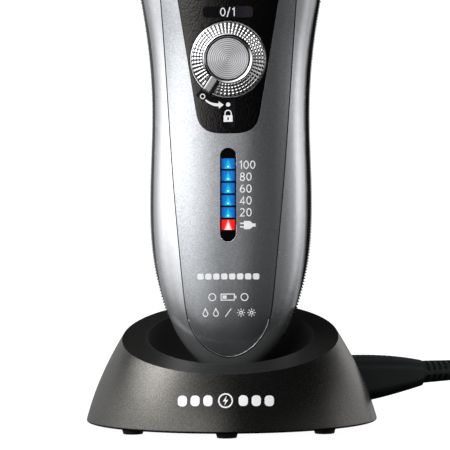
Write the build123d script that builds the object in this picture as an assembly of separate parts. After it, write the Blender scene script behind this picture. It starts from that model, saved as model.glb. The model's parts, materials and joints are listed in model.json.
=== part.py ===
"""Foil shaver leaning in its oval charging stand, in millimetres.

The row frame has its origin on the floor under the stand's front foot, +Z up and the shaver's face
towards -Y. The stand is modelled about its own middle, and the shaver upright in its own frame (origin
at the middle of its bottom end, +Z along its length, face towards -Y). save() leans the shaver back
into the stand and moves everything into the row frame.
"""

from build123d import *
import math
import os

# Driving dimensions of the stand
STAND_LEVELS = ((2.1, 46.4), (17.3, 41.0), (29.3, 34.6), (41.0, 26.6))  # height, half width
STAND_DEPTH = 0.85  # depth of each oval as a share of its width
STAND_WALL = 2.0
STAND_HEM = 0.6  # rounding of the lower edge
RIM_HEIGHT = 30.3  # height of the sloping top face above the stand's middle
RIM_SLOPE = math.degrees(math.atan(0.298))  # the top face rises towards the back
BOWL_RIM = (26.4, 22.8)  # half width and half depth of the well's mouth
BOWL_WAIST = (20.5, 17.0)
BOWL_FLOOR = (11.5, 9.6)
BOWL_Y = -2.8
BOWL_WALL = 1.8
FOOT_RADIUS = 3.8
FOOT_SPOTS = ((0, -30.5), (-30.3, -19.0), (30.3, -19.0), (-23.0, 23.0), (23.0, 23.0))
BASE_SCREW_SPOTS = ((-34.0, 5.0), (34.0, 2.0), (0.0, 29.3))
BASE_TOP = 3.4  # upper face of the base plate
CONTACT_X = 1.6  # the two charging contacts stand this far from the middle

# Charging cord
PLUG_YAW = 28.0  # the plug points right and backwards
PLUG_START = (24.0, 12.0, 14.0)
PLUG_LENGTH = 39.7
PLUG_STATIONS = (  # distance along the plug, half width, half height, how far its middle is raised
    (0.0, 5.2, 7.3, -0.6),
    (22.0, 5.2, 7.15, -0.65),
    (32.0, 4.7, 5.75, -0.25),
    (PLUG_LENGTH, 4.0, 4.2, -0.1),
)
GRIP_NOTCHES = 17  # across the plug's upper and lower edges
NOTCH_PITCH = 1.9
NOTCH_DEPTH = 0.35
RELIEF_LENGTH = 18.3
RELIEF_RADII = (3.65, 3.05)
RELIEF_SLOTS = 6
SLOT_PITCH = 2.1
SLOT_WIDTH = 1.0
SLOT_BRIDGE = 1.3  # the web that joins the rings, at four places round the cord
SLOT_FLOOR = 2.45  # radius at the bottom of the slots
CORD_RADIUS = 1.9
CORD_RISE = 0.1

# How the shaver sits in the stand
LEAN = 9.0  # degrees backwards
SEAT = (0.0, -4.5, 18.1)  # where the middle of the shaver's bottom end is

# Driving dimensions of the shaver's body: height, half width, depth to the front and to the back
STATIONS = (
    (0.0, 6.8, 5.4, 6.4),
    (5.0, 11.8, 8.9, 10.6),
    (12.0, 16.9, 11.4, 13.6),
    (24.0, 21.4, 13.4, 16.2),
    (34.0, 23.35, 14.15, 17.05),
    (45.0, 24.3, 14.6, 17.4),
    (84.0, 23.9, 14.2, 15.7),
    (108.0, 25.8, 14.4, 15.4),
    (126.0, 28.9, 15.0, 15.8),
    (143.0, 32.4, 15.6, 16.2),
)
FRONT_POWER = 3.0  # how square the front of a cross-section is
BACK_POWER = 2.4
BODY_TOP = 126.0
WALL = 1.8
PARTING = 2.0  # the front housing ends here and the rear cover begins
GAP = 0.1
PANEL_DEPTH = 1.05  # depth of the pocket that the front panel lies in
PANEL_GAP = 0.28  # open groove round the front panel

# Front panel: half width at each height, down to the tip of the tongue
TONGUE = ((22.2, 127.0), (19.2, 85.6), (17.4, 59.9), (15.1, 34.2), (13.8, 21.6), (12.4, 14.6), (7.4, 7.3))
TONGUE_TIP = 4.3
INLAY_TOP = (17.6, 127.0)
INLAY_CORNER = (10.1, 81.3)
INLAY_TIP = 74.8

# Lock ring and power button, on an axis along Y
DIAL_Z = 98.4
RING_RADIUS = 11.9
RING_HUB = 7.6
RING_BORE = 7.0
RING_SEAT = -12.85
BUTTON_RADIUS = 6.65
POINTER_ANGLE = 33.5  # from straight down, towards the left

# Charge display
WINDOW_Z = 55.3
WINDOW_SIZE = (29.6, 4.9)
SEGMENT_PITCH = 3.88
SEGMENT_SIZE = (4.3, 3.25)
SEGMENT_TOP_Z = 65.2
SEGMENTS = 6  # the lowest one is the low-battery light

# Battery
BATTERY_RADIUS = 7.0
BATTERY_SPAN = (22.0, 70.0)
BATTERY_Y = 3.4

# Back of the body
TRIMMER_WIDTH = 35.2
TRIMMER_PIVOT = (13.2, 99.4)  # y, z
TRIMMER_TOP = 122.5
TRIMMER_TEETH = 2.2  # length of the trimmer's teeth
SWITCH_Z = 81.5
GRIP_INNER = 19.5  # the grips stop short of the trimmer
GRIP_SPAN = ((2.3, 17.0), (12.6, 124.5))  # lowest front corner and highest back corner, as y and z
GRIP_CORNER = 4.8
GRIP_PROUD = (0.3, 0.3, 0.3, 0.35, 0.75, 1.0, 1.0, 1.0, 1.0, 1.0)  # at each of the body's stations
SCREW_SPOTS = ((-13.0, 30.0), (13.0, 30.0), (-13.0, 67.0), (13.0, 67.0))

# Neck bellows: height and how far each fold stands out
BELLOWS_FOLDS = ((124.05, 0.0), (125.0, 1.2), (126.0, 0.0), (127.0, 1.2), (128.1, 0.0))
BELLOWS_SIZE = (18.0, 7.2, 6.0)  # half width, half depth, corner
BELLOWS_WALL = 1.3

# Head: the cup's height, width, depth and corner at three levels
HEAD_SHOULDER = 143.0
HEAD_LEVELS = ((128.2, 45.0, 21.0, 7.0), (131.0, 50.4, 25.2, 8.0), (HEAD_SHOULDER, 51.2, 27.6, 8.5))
PIVOT_Z = 135.5
ARM_RADIUS = 6.6  # of the horns round the pivot
ARM_INNER = 26.2
PIN_RADIUS = 2.2
HEAD_JOINT_Z = 147.3  # top of the head housing, where the foil frame lifts off
FRAME_TOP = 157.0
HEAD_HALF = (29.5, 15.3)
CROWN_RADIUS = 250.0  # the foils arch along X on this radius
FOIL_SPAN = 25.2
FOIL_SHEET = 0.25
FOIL_Y = 9.2  # the two foils and their drive pins lie this far from the middle
FOIL_RADIUS = 4.55
FOIL_TOP = 161.5
SLIT_Y = 2.15  # and the two slit foils this far
SLIT_RADIUS = 1.75
SLIT_TOP = 161.0
BLADE_GAP = 0.15
FIN_PITCH = 1.8
SLIT_PITCH = 1.6


# ---------------------------------------------------------------- helpers


def lean(shape):
    """Carries a shape from the shaver's own frame into the stand's."""
    return Pos(*SEAT) * Rot(-LEAN, 0, 0) * shape


def save(name, shape, in_shaver=True):
    """Writes a piece, moved so that the front foot stands on the row frame's origin."""
    placed = Pos(0, -FOOT_SPOTS[0][1], 0) * (lean(shape) if in_shaver else shape)
    solids = placed.solids()
    export_step(Compound(children=solids) if len(solids) > 1 else solids[0], f"parts/{name}.step")


def block(x0, x1, y0, y1, z0, z1):
    return Pos((x0 + x1) / 2, (y0 + y1) / 2, (z0 + z1) / 2) * Box(x1 - x0, y1 - y0, z1 - z0)


def rod_x(radius, x0, x1, y, z):
    return Pos((x0 + x1) / 2, y, z) * Rot(0, 90, 0) * Cylinder(radius, x1 - x0)


def rod_y(radius, y0, y1, x, z):
    return Pos(x, (y0 + y1) / 2, z) * Rot(90, 0, 0) * Cylinder(radius, y1 - y0)


def rod_z(radius, z0, z1, x, y):
    return Pos(x, y, (z0 + z1) / 2) * Cylinder(radius, z1 - z0)


def ring_y(outer, inner, y0, y1, x, z):
    return rod_y(outer, y0, y1, x, z) - rod_y(inner, y0 - 1, y1 + 1, x, z)


def both_sides(shape):
    """The shape and its mirror image across the YZ plane, as two solids."""
    return shape + mirror(shape, Plane.YZ)


def slab(half_x, half_y, corner, z0, z1):
    """A plate with rounded corners, centred on the Z axis."""
    return Pos(0, 0, z0) * extrude(RectangleRounded(2 * half_x, 2 * half_y, corner), z1 - z0)


def coil_spring(radius, wire, height, turns):
    """A compression spring standing on z = 0."""
    path = Helix(pitch=height / turns, height=height, radius=radius)
    return sweep((path ^ 0) * Circle(wire), path=path)


# ---------------------------------------------------------------- body surface


def body_section(z, half_width, front, back):
    """A rounded cross-section, squarer at the front than at the back, as a face at height z."""
    points = []
    count = 16
    for k in range(count):
        c = math.cos(2 * math.pi * k / count)
        s = math.sin(2 * math.pi * k / count)
        power = 2 / (FRONT_POWER if s < 0 else BACK_POWER)
        depth = front if s < 0 else back
        x = half_width * math.copysign(abs(c) ** power, c)
        y = depth * math.copysign(abs(s) ** power, s)
        points.append((x, y, z))
    return make_face(Spline(*points, periodic=True))


BODY_CACHE = {}


def body(inset):
    """The body's outer form with its surface moved inwards by inset."""
    if inset not in BODY_CACHE:
        sections = []
        for z, half_width, front, back in STATIONS:
            level = inset if z == 0 else z
            sections.append(body_section(level, half_width - inset, front - inset, back - inset))
        BODY_CACHE[inset] = loft(sections)
    return BODY_CACHE[inset]


def grip_form():
    """The grips' outer surface: proud of the body along its middle, nearly flush towards its foot."""
    sections = []
    for (z, half_width, front, back), proud in zip(STATIONS, GRIP_PROUD):
        sections.append(body_section(z, half_width + proud, front + proud, back + proud))
    return loft(sections)


def below(z):
    return block(-60, 60, -60, 60, -20, z)


def front_prism(face, y_near=0.0):
    """A face in X and Z (drawn on Plane.XZ), run forwards from y_near."""
    return Pos(0, y_near, 0) * extrude(Plane.XZ * face, 40)


def tongue(grow):
    """The front panel's outline, with its edge moved outwards by grow."""
    right = [(x + grow, z) for x, z in TONGUE]
    left = [(-x, z) for x, z in reversed(right)]
    edge = Spline(*right, (0, TONGUE_TIP - grow), *left)
    return make_face(edge + Line(edge @ 1, edge @ 0))


def inlay(grow):
    """The soft inlay's outline, with its edge moved outwards by grow."""
    top = (INLAY_TOP[0] + grow, INLAY_TOP[1])
    corner = (INLAY_CORNER[0] + grow, INLAY_CORNER[1])
    slope = (INLAY_TOP[0] - INLAY_CORNER[0]) / (INLAY_TOP[1] - INLAY_CORNER[1])
    right = Line(top, corner)
    left = Line((-corner[0], corner[1]), (-top[0], top[1]))
    chin = Spline(
        corner,
        (0, INLAY_TIP - grow),
        (-corner[0], corner[1]),
        tangents=[(-slope, -1), (-slope, 1)],
    )
    return make_face(right + chin + left + Line(left @ 1, right @ 0))


def window(grow):
    length, width = WINDOW_SIZE
    return Pos(0, WINDOW_Z) * SlotOverall(length + 2 * grow, width + 2 * grow, 90)


def segment(index, grow):
    width, height = SEGMENT_SIZE
    z = SEGMENT_TOP_Z - SEGMENT_PITCH * index
    return Pos(0, z) * Rectangle(width + 2 * grow, height + 2 * grow)


# ---------------------------------------------------------------- stand


def oval(z, half_width, shrink=0.0):
    return Pos(0, 0, z) * Ellipse(half_width - shrink, half_width * STAND_DEPTH - shrink)


def stand_body(shrink):
    return loft([oval(z, half_width, shrink) for z, half_width in STAND_LEVELS])


def under_rim(drop):
    """Everything under the sloping top face, lowered by drop."""
    return Pos(0, 0, RIM_HEIGHT - drop) * Rot(RIM_SLOPE, 0, 0) * Pos(0, 0, -50) * Box(200, 200, 100)


def bowl(grow):
    """The well that the shaver stands in, with its surface moved outwards by grow."""
    slope = Rot(RIM_SLOPE, 0, 0)
    mouth_height = RIM_HEIGHT + BOWL_Y * math.tan(math.radians(RIM_SLOPE))
    floor = SEAT[2] - 1.0 - grow
    mouth_depth = (BOWL_RIM[1] + grow) / math.cos(math.radians(RIM_SLOPE))
    mouth = Pos(0, BOWL_Y, mouth_height) * slope * Ellipse(BOWL_RIM[0] + grow, mouth_depth)
    middle = Pos(0, BOWL_Y - 0.8, 21.6) * Rot(RIM_SLOPE / 3, 0, 0)
    waist = middle * Ellipse(BOWL_WAIST[0] + grow, BOWL_WAIST[1] + grow)
    bottom = Pos(0, SEAT[1], floor) * Ellipse(BOWL_FLOOR[0] + grow, BOWL_FLOOR[1] + grow)
    return loft([bottom, waist, mouth]) + extrude(mouth, 4)


def along_plug(distance):
    """The frame at a distance along the plug's axis, with +Z along the axis and +Y up."""
    turn = math.radians(PLUG_YAW)
    x = PLUG_START[0] + distance * math.cos(turn)
    y = PLUG_START[1] + distance * math.sin(turn)
    axis = (math.cos(turn), math.sin(turn), 0)
    side = (-math.sin(turn), math.cos(turn), 0)
    return Plane(origin=(x, y, PLUG_START[2]), x_dir=side, z_dir=axis)


def plug_form(grow):
    """The moulded plug: tall where it enters the stand, tapering to the cord."""
    faces = []
    for distance, half_width, half_height, rise in PLUG_STATIONS:
        corner = 0.8 * (half_width + grow)
        face = RectangleRounded(2 * (half_width + grow), 2 * (half_height + grow), corner)
        faces.append(along_plug(distance) * Pos(0, rise) * face)
    return loft(faces)


def make_stand():
    outer = stand_body(0) & under_rim(0)
    outer = fillet(outer.edges().group_by(Axis.Z)[0], STAND_HEM)
    hollow = stand_body(STAND_WALL) & under_rim(2.2)
    shell = outer - hollow - rod_z(50, -1, 2.1, 0, 0)
    shell = shell + (bowl(BOWL_WALL) & under_rim(0.5))
    for x, y in BASE_SCREW_SPOTS:
        post = rod_z(3.0, 4.6, 30, x, y) & stand_body(0.6) & under_rim(1.0)
        shell = shell + post - rod_z(1.05, 4, 14, x, y)
    shell = shell - bowl(0) - plug_form(0.25)
    pin_holes = both_sides(lean(rod_z(0.95, -8, 2, CONTACT_X, 0)))
    shell = shell - pin_holes
    save("stand_shell", shell, False)

    foot_width = STAND_LEVELS[0][1]
    inset = STAND_WALL + 0.7
    outline = Ellipse(foot_width - inset, foot_width * STAND_DEPTH - inset)
    base = Pos(0, 0, BASE_TOP - 1.0) * extrude(outline, 2.0)
    feet = []
    for x, y in FOOT_SPOTS:
        base = base - rod_z(FOOT_RADIUS + 0.1, 2.3, 3.0, x, y)
        foot = Pos(x, y, 1.2) * Cone(FOOT_RADIUS - 0.7, FOOT_RADIUS, 2.4) + rod_z(FOOT_RADIUS, 2.4, 3.0, x, y)
        feet.append(foot)
    screws = []
    for x, y in BASE_SCREW_SPOTS:
        base = base - rod_z(1.4, 2, 5, x, y) - rod_z(2.6, 2, BASE_TOP, x, y)
        cross = Box(2.6, 0.6, 0.8) + Box(0.6, 2.6, 0.8)
        head = rod_z(2.3, 2.5, BASE_TOP, x, y) - Pos(x, y, 2.8) * cross
        screws.append(head + rod_z(1.0, BASE_TOP, 12, x, y))
    save("stand_base", base, False)
    save("stand_feet", Compound(children=[f.solid() for f in feet]), False)
    save("stand_screws", Compound(children=[s.solid() for s in screws]), False)

    pins = both_sides(rod_z(0.85, -6.5, 5.0, CONTACT_X, 0) + rod_z(1.3, -6.5, -4.2, CONTACT_X, 0))
    save("charge_pins", pins)


def make_cord():
    plug = plug_form(0)
    notches = []
    for k in range(GRIP_NOTCHES):
        place = along_plug(6 + NOTCH_PITCH * k)
        notches.append(place * Box(3.6, 30, 0.5 * NOTCH_PITCH) - plug_form(-NOTCH_DEPTH))
    save("charge_plug", plug - notches, False)

    ends = []
    for distance, radius in zip((0, RELIEF_LENGTH), RELIEF_RADII):
        ends.append(along_plug(PLUG_LENGTH + distance) * Pos(0, CORD_RISE) * Circle(radius))
    relief = loft(ends)
    slot = Cylinder(5, SLOT_WIDTH) - Cylinder(SLOT_FLOOR, SLOT_WIDTH)
    slot = slot - Box(SLOT_BRIDGE, 12, SLOT_WIDTH) - Box(12, SLOT_BRIDGE, SLOT_WIDTH)
    for k in range(RELIEF_SLOTS):
        place = along_plug(PLUG_LENGTH + 1.9 + SLOT_PITCH * k) * Pos(0, CORD_RISE)
        relief = relief - place * slot
    bore = Pos(0, CORD_RISE, RELIEF_LENGTH / 2 + 3) * Cylinder(CORD_RADIUS, RELIEF_LENGTH)
    save("plug_strain_relief", relief - along_plug(PLUG_LENGTH) * bore, False)

    from_relief = along_plug(PLUG_LENGTH + 5) * Pos(0, CORD_RISE, 0)
    leave = along_plug(PLUG_LENGTH + RELIEF_LENGTH + 1) * Pos(0, CORD_RISE, 0)
    p0 = Vector(from_relief.position)
    p1 = Vector(leave.position)
    heading = (p1 - p0).normalized()
    low = Vector(p1.X + 16, p1.Y + 9.5, CORD_RADIUS + 0.1)
    end = Vector(low.X + 17, low.Y + 3, CORD_RADIUS + 0.1)
    bend = Spline(p1, low, tangents=[heading, (end - low).normalized()])
    path = Line(p0, p1) + bend + Line(low, end)
    section = Plane(origin=p0, z_dir=heading) * Circle(CORD_RADIUS)
    save("power_cord", sweep(section, path=path), False)


# ---------------------------------------------------------------- handle casing


def arms():
    """Two horns beside the head, which hold its pivot pins."""
    front_edge = ((-9.0, 118), (-9.0, BODY_TOP), (-ARM_RADIUS, PIVOT_Z))
    back_edge = ((ARM_RADIUS, PIVOT_Z), (9.0, BODY_TOP + GAP), (9.0, 118))
    profile = make_face(Polyline(*front_edge, *back_edge, close=True)) + Pos(0, PIVOT_Z) * Circle(ARM_RADIUS)
    horn = Pos(ARM_INNER, 0, 0) * extrude(Plane.YZ * profile, 12)
    horn = horn & body(0)
    behind = block(20, 40, PARTING, 30, 100, BODY_TOP + GAP)
    horn = horn - behind - rod_x(PIN_RADIUS + 0.05, ARM_INNER - 1, 30.4, 0, PIVOT_Z)
    return both_sides(horn)


def seam(inset, y0, y1, top):
    """A plate in the parting plane that follows the body's side outline, set in by inset."""
    right = [(half_width - inset, z) for z, half_width, front, back in STATIONS]
    right[0] = (right[0][0], inset)
    left = [(-x, z) for x, z in reversed(right)]
    face = make_face(Spline(*right) + Line(right[-1], left[0]) + Spline(*left) + Line(left[-1], right[0]))
    return (Pos(0, y1, 0) * extrude(Plane.XZ * face, y1 - y0)) & below(top)


def make_front_housing():
    front_half = block(-60, 60, -60, PARTING, -5, BODY_TOP)
    shell = (body(0) & front_half) - (body(WALL) & front_half)
    recess = front_prism(tongue(PANEL_GAP)) - body(PANEL_DEPTH)
    boss = rod_y(13.2, RING_SEAT, -10.9, 0, DIAL_Z) & body(PANEL_DEPTH)
    posts = [rod_y(3.2, -20, PARTING, x, z) & body(1.4) for x, z in SCREW_SPOTS]
    shell = shell - recess + [boss, *posts, *arms().solids()]
    cuts = [
        rod_y(12.2, -30, RING_SEAT, 0, DIAL_Z),
        rod_y(RING_HUB + 0.1, -30, 0, 0, DIAL_Z),
        front_prism(window(0.1)),
        seam(0.45, 1.45, PARTING + 1, 119) - seam(1.35, 1, PARTING + 2, 118),
        rod_z(4.1, -5, 9, 0, 0),
    ]
    pilots = [rod_y(1.1, -9, PARTING + 1, x, z) for x, z in SCREW_SPOTS]
    save("front_housing", shell - cuts - pilots)


def make_front_panel():
    layer = body(0) - body(PANEL_DEPTH - GAP)
    panel = layer & (front_prism(tongue(0)) - front_prism(inlay(0.08)) - front_prism(window(0.1)))
    save("front_panel", panel & below(BODY_TOP - 0.6))

    soft = (body(0.2) - body(PANEL_DEPTH - GAP)) & front_prism(inlay(0))
    soft = soft - rod_y(12.2, -30, 0, 0, DIAL_Z)
    save("leather_inlay", soft & below(BODY_TOP - 0.6))


def make_rear_cover():
    rear_half = block(-60, 60, PARTING + GAP, 60, -5, BODY_TOP)
    shell = (body(0) & rear_half) - (body(WALL) & rear_half)
    half = TRIMMER_WIDTH / 2
    tray = block(-half - 1.6, half + 1.6, 8.9, 30, 95.4, BODY_TOP) & body(0.5)
    slide_pad = block(-9.6, 9.6, 12.1, 30, 74.5, 94.9) & body(0.5)
    posts = [rod_y(3.4, PARTING + GAP, 30, x, z) & body(0.5) for x, z in SCREW_SPOTS]
    shell = shell + [tray, slide_pad, *posts]
    cuts = [
        block(-half, half, 10.5, 30, 97.0, BODY_TOP + 1),
        block(-8, 8, 14.1, 30, SWITCH_Z - 5.5, SWITCH_Z + 9.8),
        block(-2.2, 2.2, 8, 30, SWITCH_Z - 2.2, SWITCH_Z + 6.4),
        rod_x(0.85, -19.0, 19.0, *TRIMMER_PIVOT),
        rod_z(4.1, -5, 9, 0, 0),
    ]
    for x, z in SCREW_SPOTS:
        cuts = cuts + [rod_y(1.3, 0, 30, x, z), rod_y(2.5, 9.5, 30, x, z)]
    save("rear_cover", shell - cuts)

    (y0, z0), (y1, z1) = GRIP_SPAN
    outline = Pos((y0 + y1) / 2, (z0 + z1) / 2) * RectangleRounded(y1 - y0, z1 - z0, GRIP_CORNER)
    layer = grip_form() - body(-GAP)
    grip = layer & (Pos(GRIP_INNER, 0, 0) * extrude(Plane.YZ * outline, 40))
    save("side_grips", both_sides(grip))


def make_gasket_and_screws():
    ring = seam(0.5, 1.5, PARTING + 0.05, 118.8) - seam(1.3, 1, PARTING + 1, 118.1)
    save("housing_gasket", ring - rod_z(4.2, -5, 9, 0, 0))
    screws = []
    for x, z in SCREW_SPOTS:
        cross = Box(3.0, 1.0, 0.6) + Box(0.6, 1.0, 3.0)
        head = rod_y(2.3, 9.6, 11.2, x, z) - Pos(x, 11.0, z) * cross
        screws.append((head + rod_y(1.05, -7.5, 9.6, x, z)).solid())
    save("housing_screws", Compound(children=screws))


# ---------------------------------------------------------------- controls


def make_lock_ring():
    """The knurled ring turns between unlocked and locked, and the power button sits in its bore."""
    front = RING_SEAT - 0.05
    profile = Polyline(
        (RING_HUB, front),
        (RING_RADIUS, front),
        (RING_RADIUS, front - 1.6),
        (RING_HUB + 0.2, front - 3.4),
        (RING_BORE, front - 2.9),
        (RING_BORE, -9.95),
        (RING_HUB, -9.95),
        close=True,
    )
    ring = revolve(make_face(profile), Axis.Y)
    pointer = block(-1.55, 1.55, front - 3.9, front - 1.45, -12.5, -7.1)
    pointer = pointer - rod_y(RING_BORE, -30, 0, 0, 0)
    ring = ring + Rot(0, POINTER_ANGLE, 0) * pointer
    save("lock_ring", Pos(0, 0, DIAL_Z) * ring)
    save("ring_retainer", ring_y(9.0, RING_HUB + 0.02, -10.8, -10.1, 0, DIAL_Z))


def make_power_button():
    cap = fillet(rod_y(BUTTON_RADIUS, -16.0, -14.6, 0, DIAL_Z).edges().group_by(Axis.Y)[0], 0.35)
    save("power_button", cap + rod_y(2.2, -14.6, -10.0, 0, DIAL_Z))
    seal = ring_y(8.6, 2.35, -9.85, -9.2, 0, DIAL_Z)
    save("button_seal", seal)
    spring = Pos(0, -14.2, DIAL_Z) * Rot(-90, 0, 0) * coil_spring(3.2, 0.3, 4.0, 4)
    save("button_spring", spring)


# ---------------------------------------------------------------- inside the handle


def make_electronics():
    board = block(-9.3, 9.3, -7.6, -6.6, 30, 112) & body(2.4)
    save("circuit_board", board)
    leds = [block(-1.4, 1.4, -8.6, -7.65, z - 0.8, z + 0.8) for z in segment_heights()]
    save("indicator_leds", Compound(children=[s.solid() for s in leds]))
    switch = block(-3, 3, -8.4, -7.65, DIAL_Z - 3, DIAL_Z + 3) + rod_y(1.6, -8.95, -8.4, 0, DIAL_Z)
    save("tact_switch", switch)

    bezel = front_prism(window(0), -10.2) & body(0.35)
    bezel = bezel - [front_prism(segment(k, 0.02)) for k in range(SEGMENTS)]
    blue = []
    for k in range(SEGMENTS):
        lens = front_prism(segment(k, 0), -10.4) & body(0.45)
        if k < SEGMENTS - 1:
            blue.append(lens.solid())
        else:
            save("low_battery_lens", lens)
    save("display_bezel", bezel)
    save("charge_lenses", Compound(children=blue))


def segment_heights():
    return [SEGMENT_TOP_Z - SEGMENT_PITCH * k for k in range(SEGMENTS)]


def make_battery_and_chassis():
    low, high = BATTERY_SPAN
    cell = rod_z(BATTERY_RADIUS, low, high, 0, BATTERY_Y)
    save("battery", cell + rod_z(2.4, high, high + 1, 0, BATTERY_Y))
    tabs = block(-2.5, 2.5, -4.1, 6, 71.05, 71.35) + block(-2.5, 2.5, -4.1, 6, 21.6, 21.95)
    save("battery_tabs", tabs)
    plate = block(-16, 16, -6.0, -4.2, 14, 116)
    for z in (26, 46, 64):
        plate = plate + block(-12, 12, -4.2, 8, z, z + 2.0)
    plate = plate + block(-12, 12, -4.2, 6, 74, 76)
    plate = (plate & body(2.1)) - rod_z(BATTERY_RADIUS + 0.05, 15, 71, 0, BATTERY_Y)
    for x, z in SCREW_SPOTS:
        plate = plate - rod_y(3.7, -20, 20, x, z)
    save("inner_chassis", plate)

    socket = rod_z(4.0, 0.3, 9.0, 0, 0) + rod_z(5.2, 9.0, 10.5, 0, 0)
    for x in (-CONTACT_X, CONTACT_X):
        socket = socket - rod_z(1.05, 0, 6.5, x, 0)
    save("charge_socket", socket & body(0.15))


def make_neck():
    deck = body(WALL + 0.1) & block(-25.9, 25.9, -30, 30, 121.6, 124.0)
    pocket = block(-TRIMMER_WIDTH / 2 - 1.8, TRIMMER_WIDTH / 2 + 1.8, 8.8, 30, 120, 130)
    deck = deck - pocket
    deck = deck - rod_z(3, 120, 130, 0, 0)
    save("neck_deck", deck)
    half_x, half_y, corner = BELLOWS_SIZE
    folds = []
    for z, grow in BELLOWS_FOLDS:
        folds.append(Pos(0, 0, z) * RectangleRounded(2 * (half_x + grow), 2 * (half_y + grow), corner))
    sleeve = loft(folds, ruled=True)
    inner = slab(half_x - BELLOWS_WALL, half_y - BELLOWS_WALL, corner - BELLOWS_WALL, 123, 129)
    save("neck_bellows", sleeve - inner)


# ---------------------------------------------------------------- trimmer


def make_trimmer():
    half = TRIMMER_WIDTH / 2 - 0.2
    y, z = TRIMMER_PIVOT
    flap = body(0.15) & block(-half, half, 11.6, 30, z, TRIMMER_TOP)
    flap = flap + rod_x(1.9, -half, half, y, z)
    flap = flap - rod_x(0.85, -30, 30, y, z)
    flap = flap - block(-half - 1, half + 1, 10, 13.0, TRIMMER_TOP - 5, TRIMMER_TOP + 1)
    flap = flap - block(-5, 5, 15.0, 30, TRIMMER_TOP - 3, TRIMMER_TOP + 1)
    save("trimmer_arm", flap)
    save("trimmer_pin", rod_x(0.8, -18.8, 18.8, y, z))
    save("trimmer_comb", trimmer_plate(12.35, 12.9, half - 0.4, 1.6, 0.8))
    save("trimmer_cutter", trimmer_plate(11.75, 12.3, half - 1.6, 2.0, 1.0))

    cap = block(-7, 7, 14.15, 16.6, SWITCH_Z - 5, SWITCH_Z + 5)
    cap = fillet(cap.edges().filter_by(Axis.Y) + cap.edges().group_by(Axis.Y)[-1], 0.6)
    for k in range(-3, 4):
        cap = cap - Pos(0, 16.9, SWITCH_Z + 1.2 * k) * Rot(0, 90, 0) * Cylinder(0.6, 11)
    stem = block(-2, 2, 10.9, 14.15, SWITCH_Z - 2, SWITCH_Z + 2)
    save("trimmer_switch", cap + stem)


def trimmer_plate(y0, y1, half, pitch, slot):
    """A steel plate with a row of teeth along its upper edge."""
    top = TRIMMER_TOP + 2.6
    plate = block(-half, half, y0, y1, TRIMMER_TOP - 4.6, top)
    count = int(half // pitch)
    for k in range(-count, count + 1):
        x = k * pitch
        plate = plate - block(x - slot / 2, x + slot / 2, y0 - 1, y1 + 1, top - TRIMMER_TEETH, top + 1)
    return plate


# ---------------------------------------------------------------- head


def make_head_housing():
    levels = [Pos(0, 0, z) * RectangleRounded(width, depth, corner) for z, width, depth, corner in HEAD_LEVELS]
    cup = loft(levels, ruled=True) + slab(*HEAD_HALF, 9, HEAD_SHOULDER, HEAD_JOINT_Z)
    shoulder = cup.edges().filter_by_position(Axis.Z, HEAD_SHOULDER - 0.1, HEAD_SHOULDER + 0.1)
    cup = fillet(shoulder.group_by(SortBy.LENGTH)[-1], 0.8)
    cup = cup - slab(23.6, 11.2, 6, 130.0, 143.5) - slab(26.5, 13.0, 7, HEAD_SHOULDER, HEAD_JOINT_Z + 1)
    bores = both_sides(rod_x(PIN_RADIUS + 0.01, 22, 27, 0, PIVOT_Z))
    pockets = both_sides(block(26, 31, -5.1, 5.1, 144.8, 147.0))
    save("head_housing", cup - bores - pockets)
    save("pivot_pins", both_sides(rod_x(PIN_RADIUS, 23.7, 30.2, 0, PIVOT_Z)))

    for side, name in ((-1, "left"), (1, "right")):
        button = block(26.5, 30.3, -4.9, 4.9, 144.95, 146.85)
        button = fillet(button.edges().group_by(Axis.X)[-1], 0.5)
        button = button + block(25.8, 26.4, -6, 6, 144.7, 147.1)
        button = button + block(26.4, 26.5, -4.9, 4.9, 144.95, 146.85)
        save(f"release_button_{name}", button if side > 0 else mirror(button, Plane.YZ))


def make_motor():
    """A linear motor: a fixed core and coil, and two sliders that move opposite ways along X."""
    core = block(-18, 18, -7, 7, 130.3, 133)
    for x0, x1 in ((-18, -14.5), (-3.5, 3.5), (14.5, 18)):
        core = core + block(x0, x1, -7, 7, 132.9, 138.8)
    save("motor_core", core)
    coil = slab(9.5, 9.4, 2.5, 133.3, 138.3) - slab(3.8, 7.3, 0.6, 133, 139)
    save("motor_coil", coil)

    cover = slab(26.2, 12.8, 6.8, 143.1, 144.4)
    seals = []
    for side in (-1, 1):
        y = side * FOIL_Y
        cover = cover - block(-2.9, 2.9, y - 1.8, y + 1.8, 142, 146)
        cover = cover - block(-2.1, 2.1, side * SLIT_Y - 1.1, side * SLIT_Y + 1.1, 142, 146)
        seal = Pos(0, y, 144.9) * Box(7.2, 5.0, 0.9) - rod_z(1.42, 144, 146, 0, y)
        seals.append(seal.solid())
    save("motor_cover", cover)
    save("drive_seals", Compound(children=seals))

    for side, name in ((-1, "front"), (1, "rear")):
        near, far = sorted((side * 0.5, side * 10.4))
        slider = block(-14, 14, near, far, 140.5, 142.4)
        slider = slider + rod_z(1.4, 142.3, 149.5, 0, side * FOIL_Y)
        slider = slider + rod_z(0.7, 142.3, 149.8, 0, side * SLIT_Y)
        save(f"drive_slider_{name}", slider)
        near, far = sorted((side * 1.0, side * 10.0))
        save(f"magnet_{name}", block(-11, 11, near, far, 139.2, 140.45))


def crown(face, span):
    """A face in Y and Z (drawn at x = 0), swept along the shallow arch that all the blades share."""
    axis = Axis((0, 0, FOIL_TOP - CROWN_RADIUS), (0, 1, 0))
    half = math.degrees(span / CROWN_RADIUS)
    turned = (Plane.YZ * face).rotate(axis, -half)
    return revolve(turned, axis, 2 * half)


def arch(y, top, radius, bottom):
    """An inverted U in Y and Z."""
    centre = top - radius
    legs = Pos(y, (centre + bottom) / 2) * Rectangle(2 * radius, centre - bottom)
    return Pos(y, centre) * Circle(radius) + legs


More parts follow.
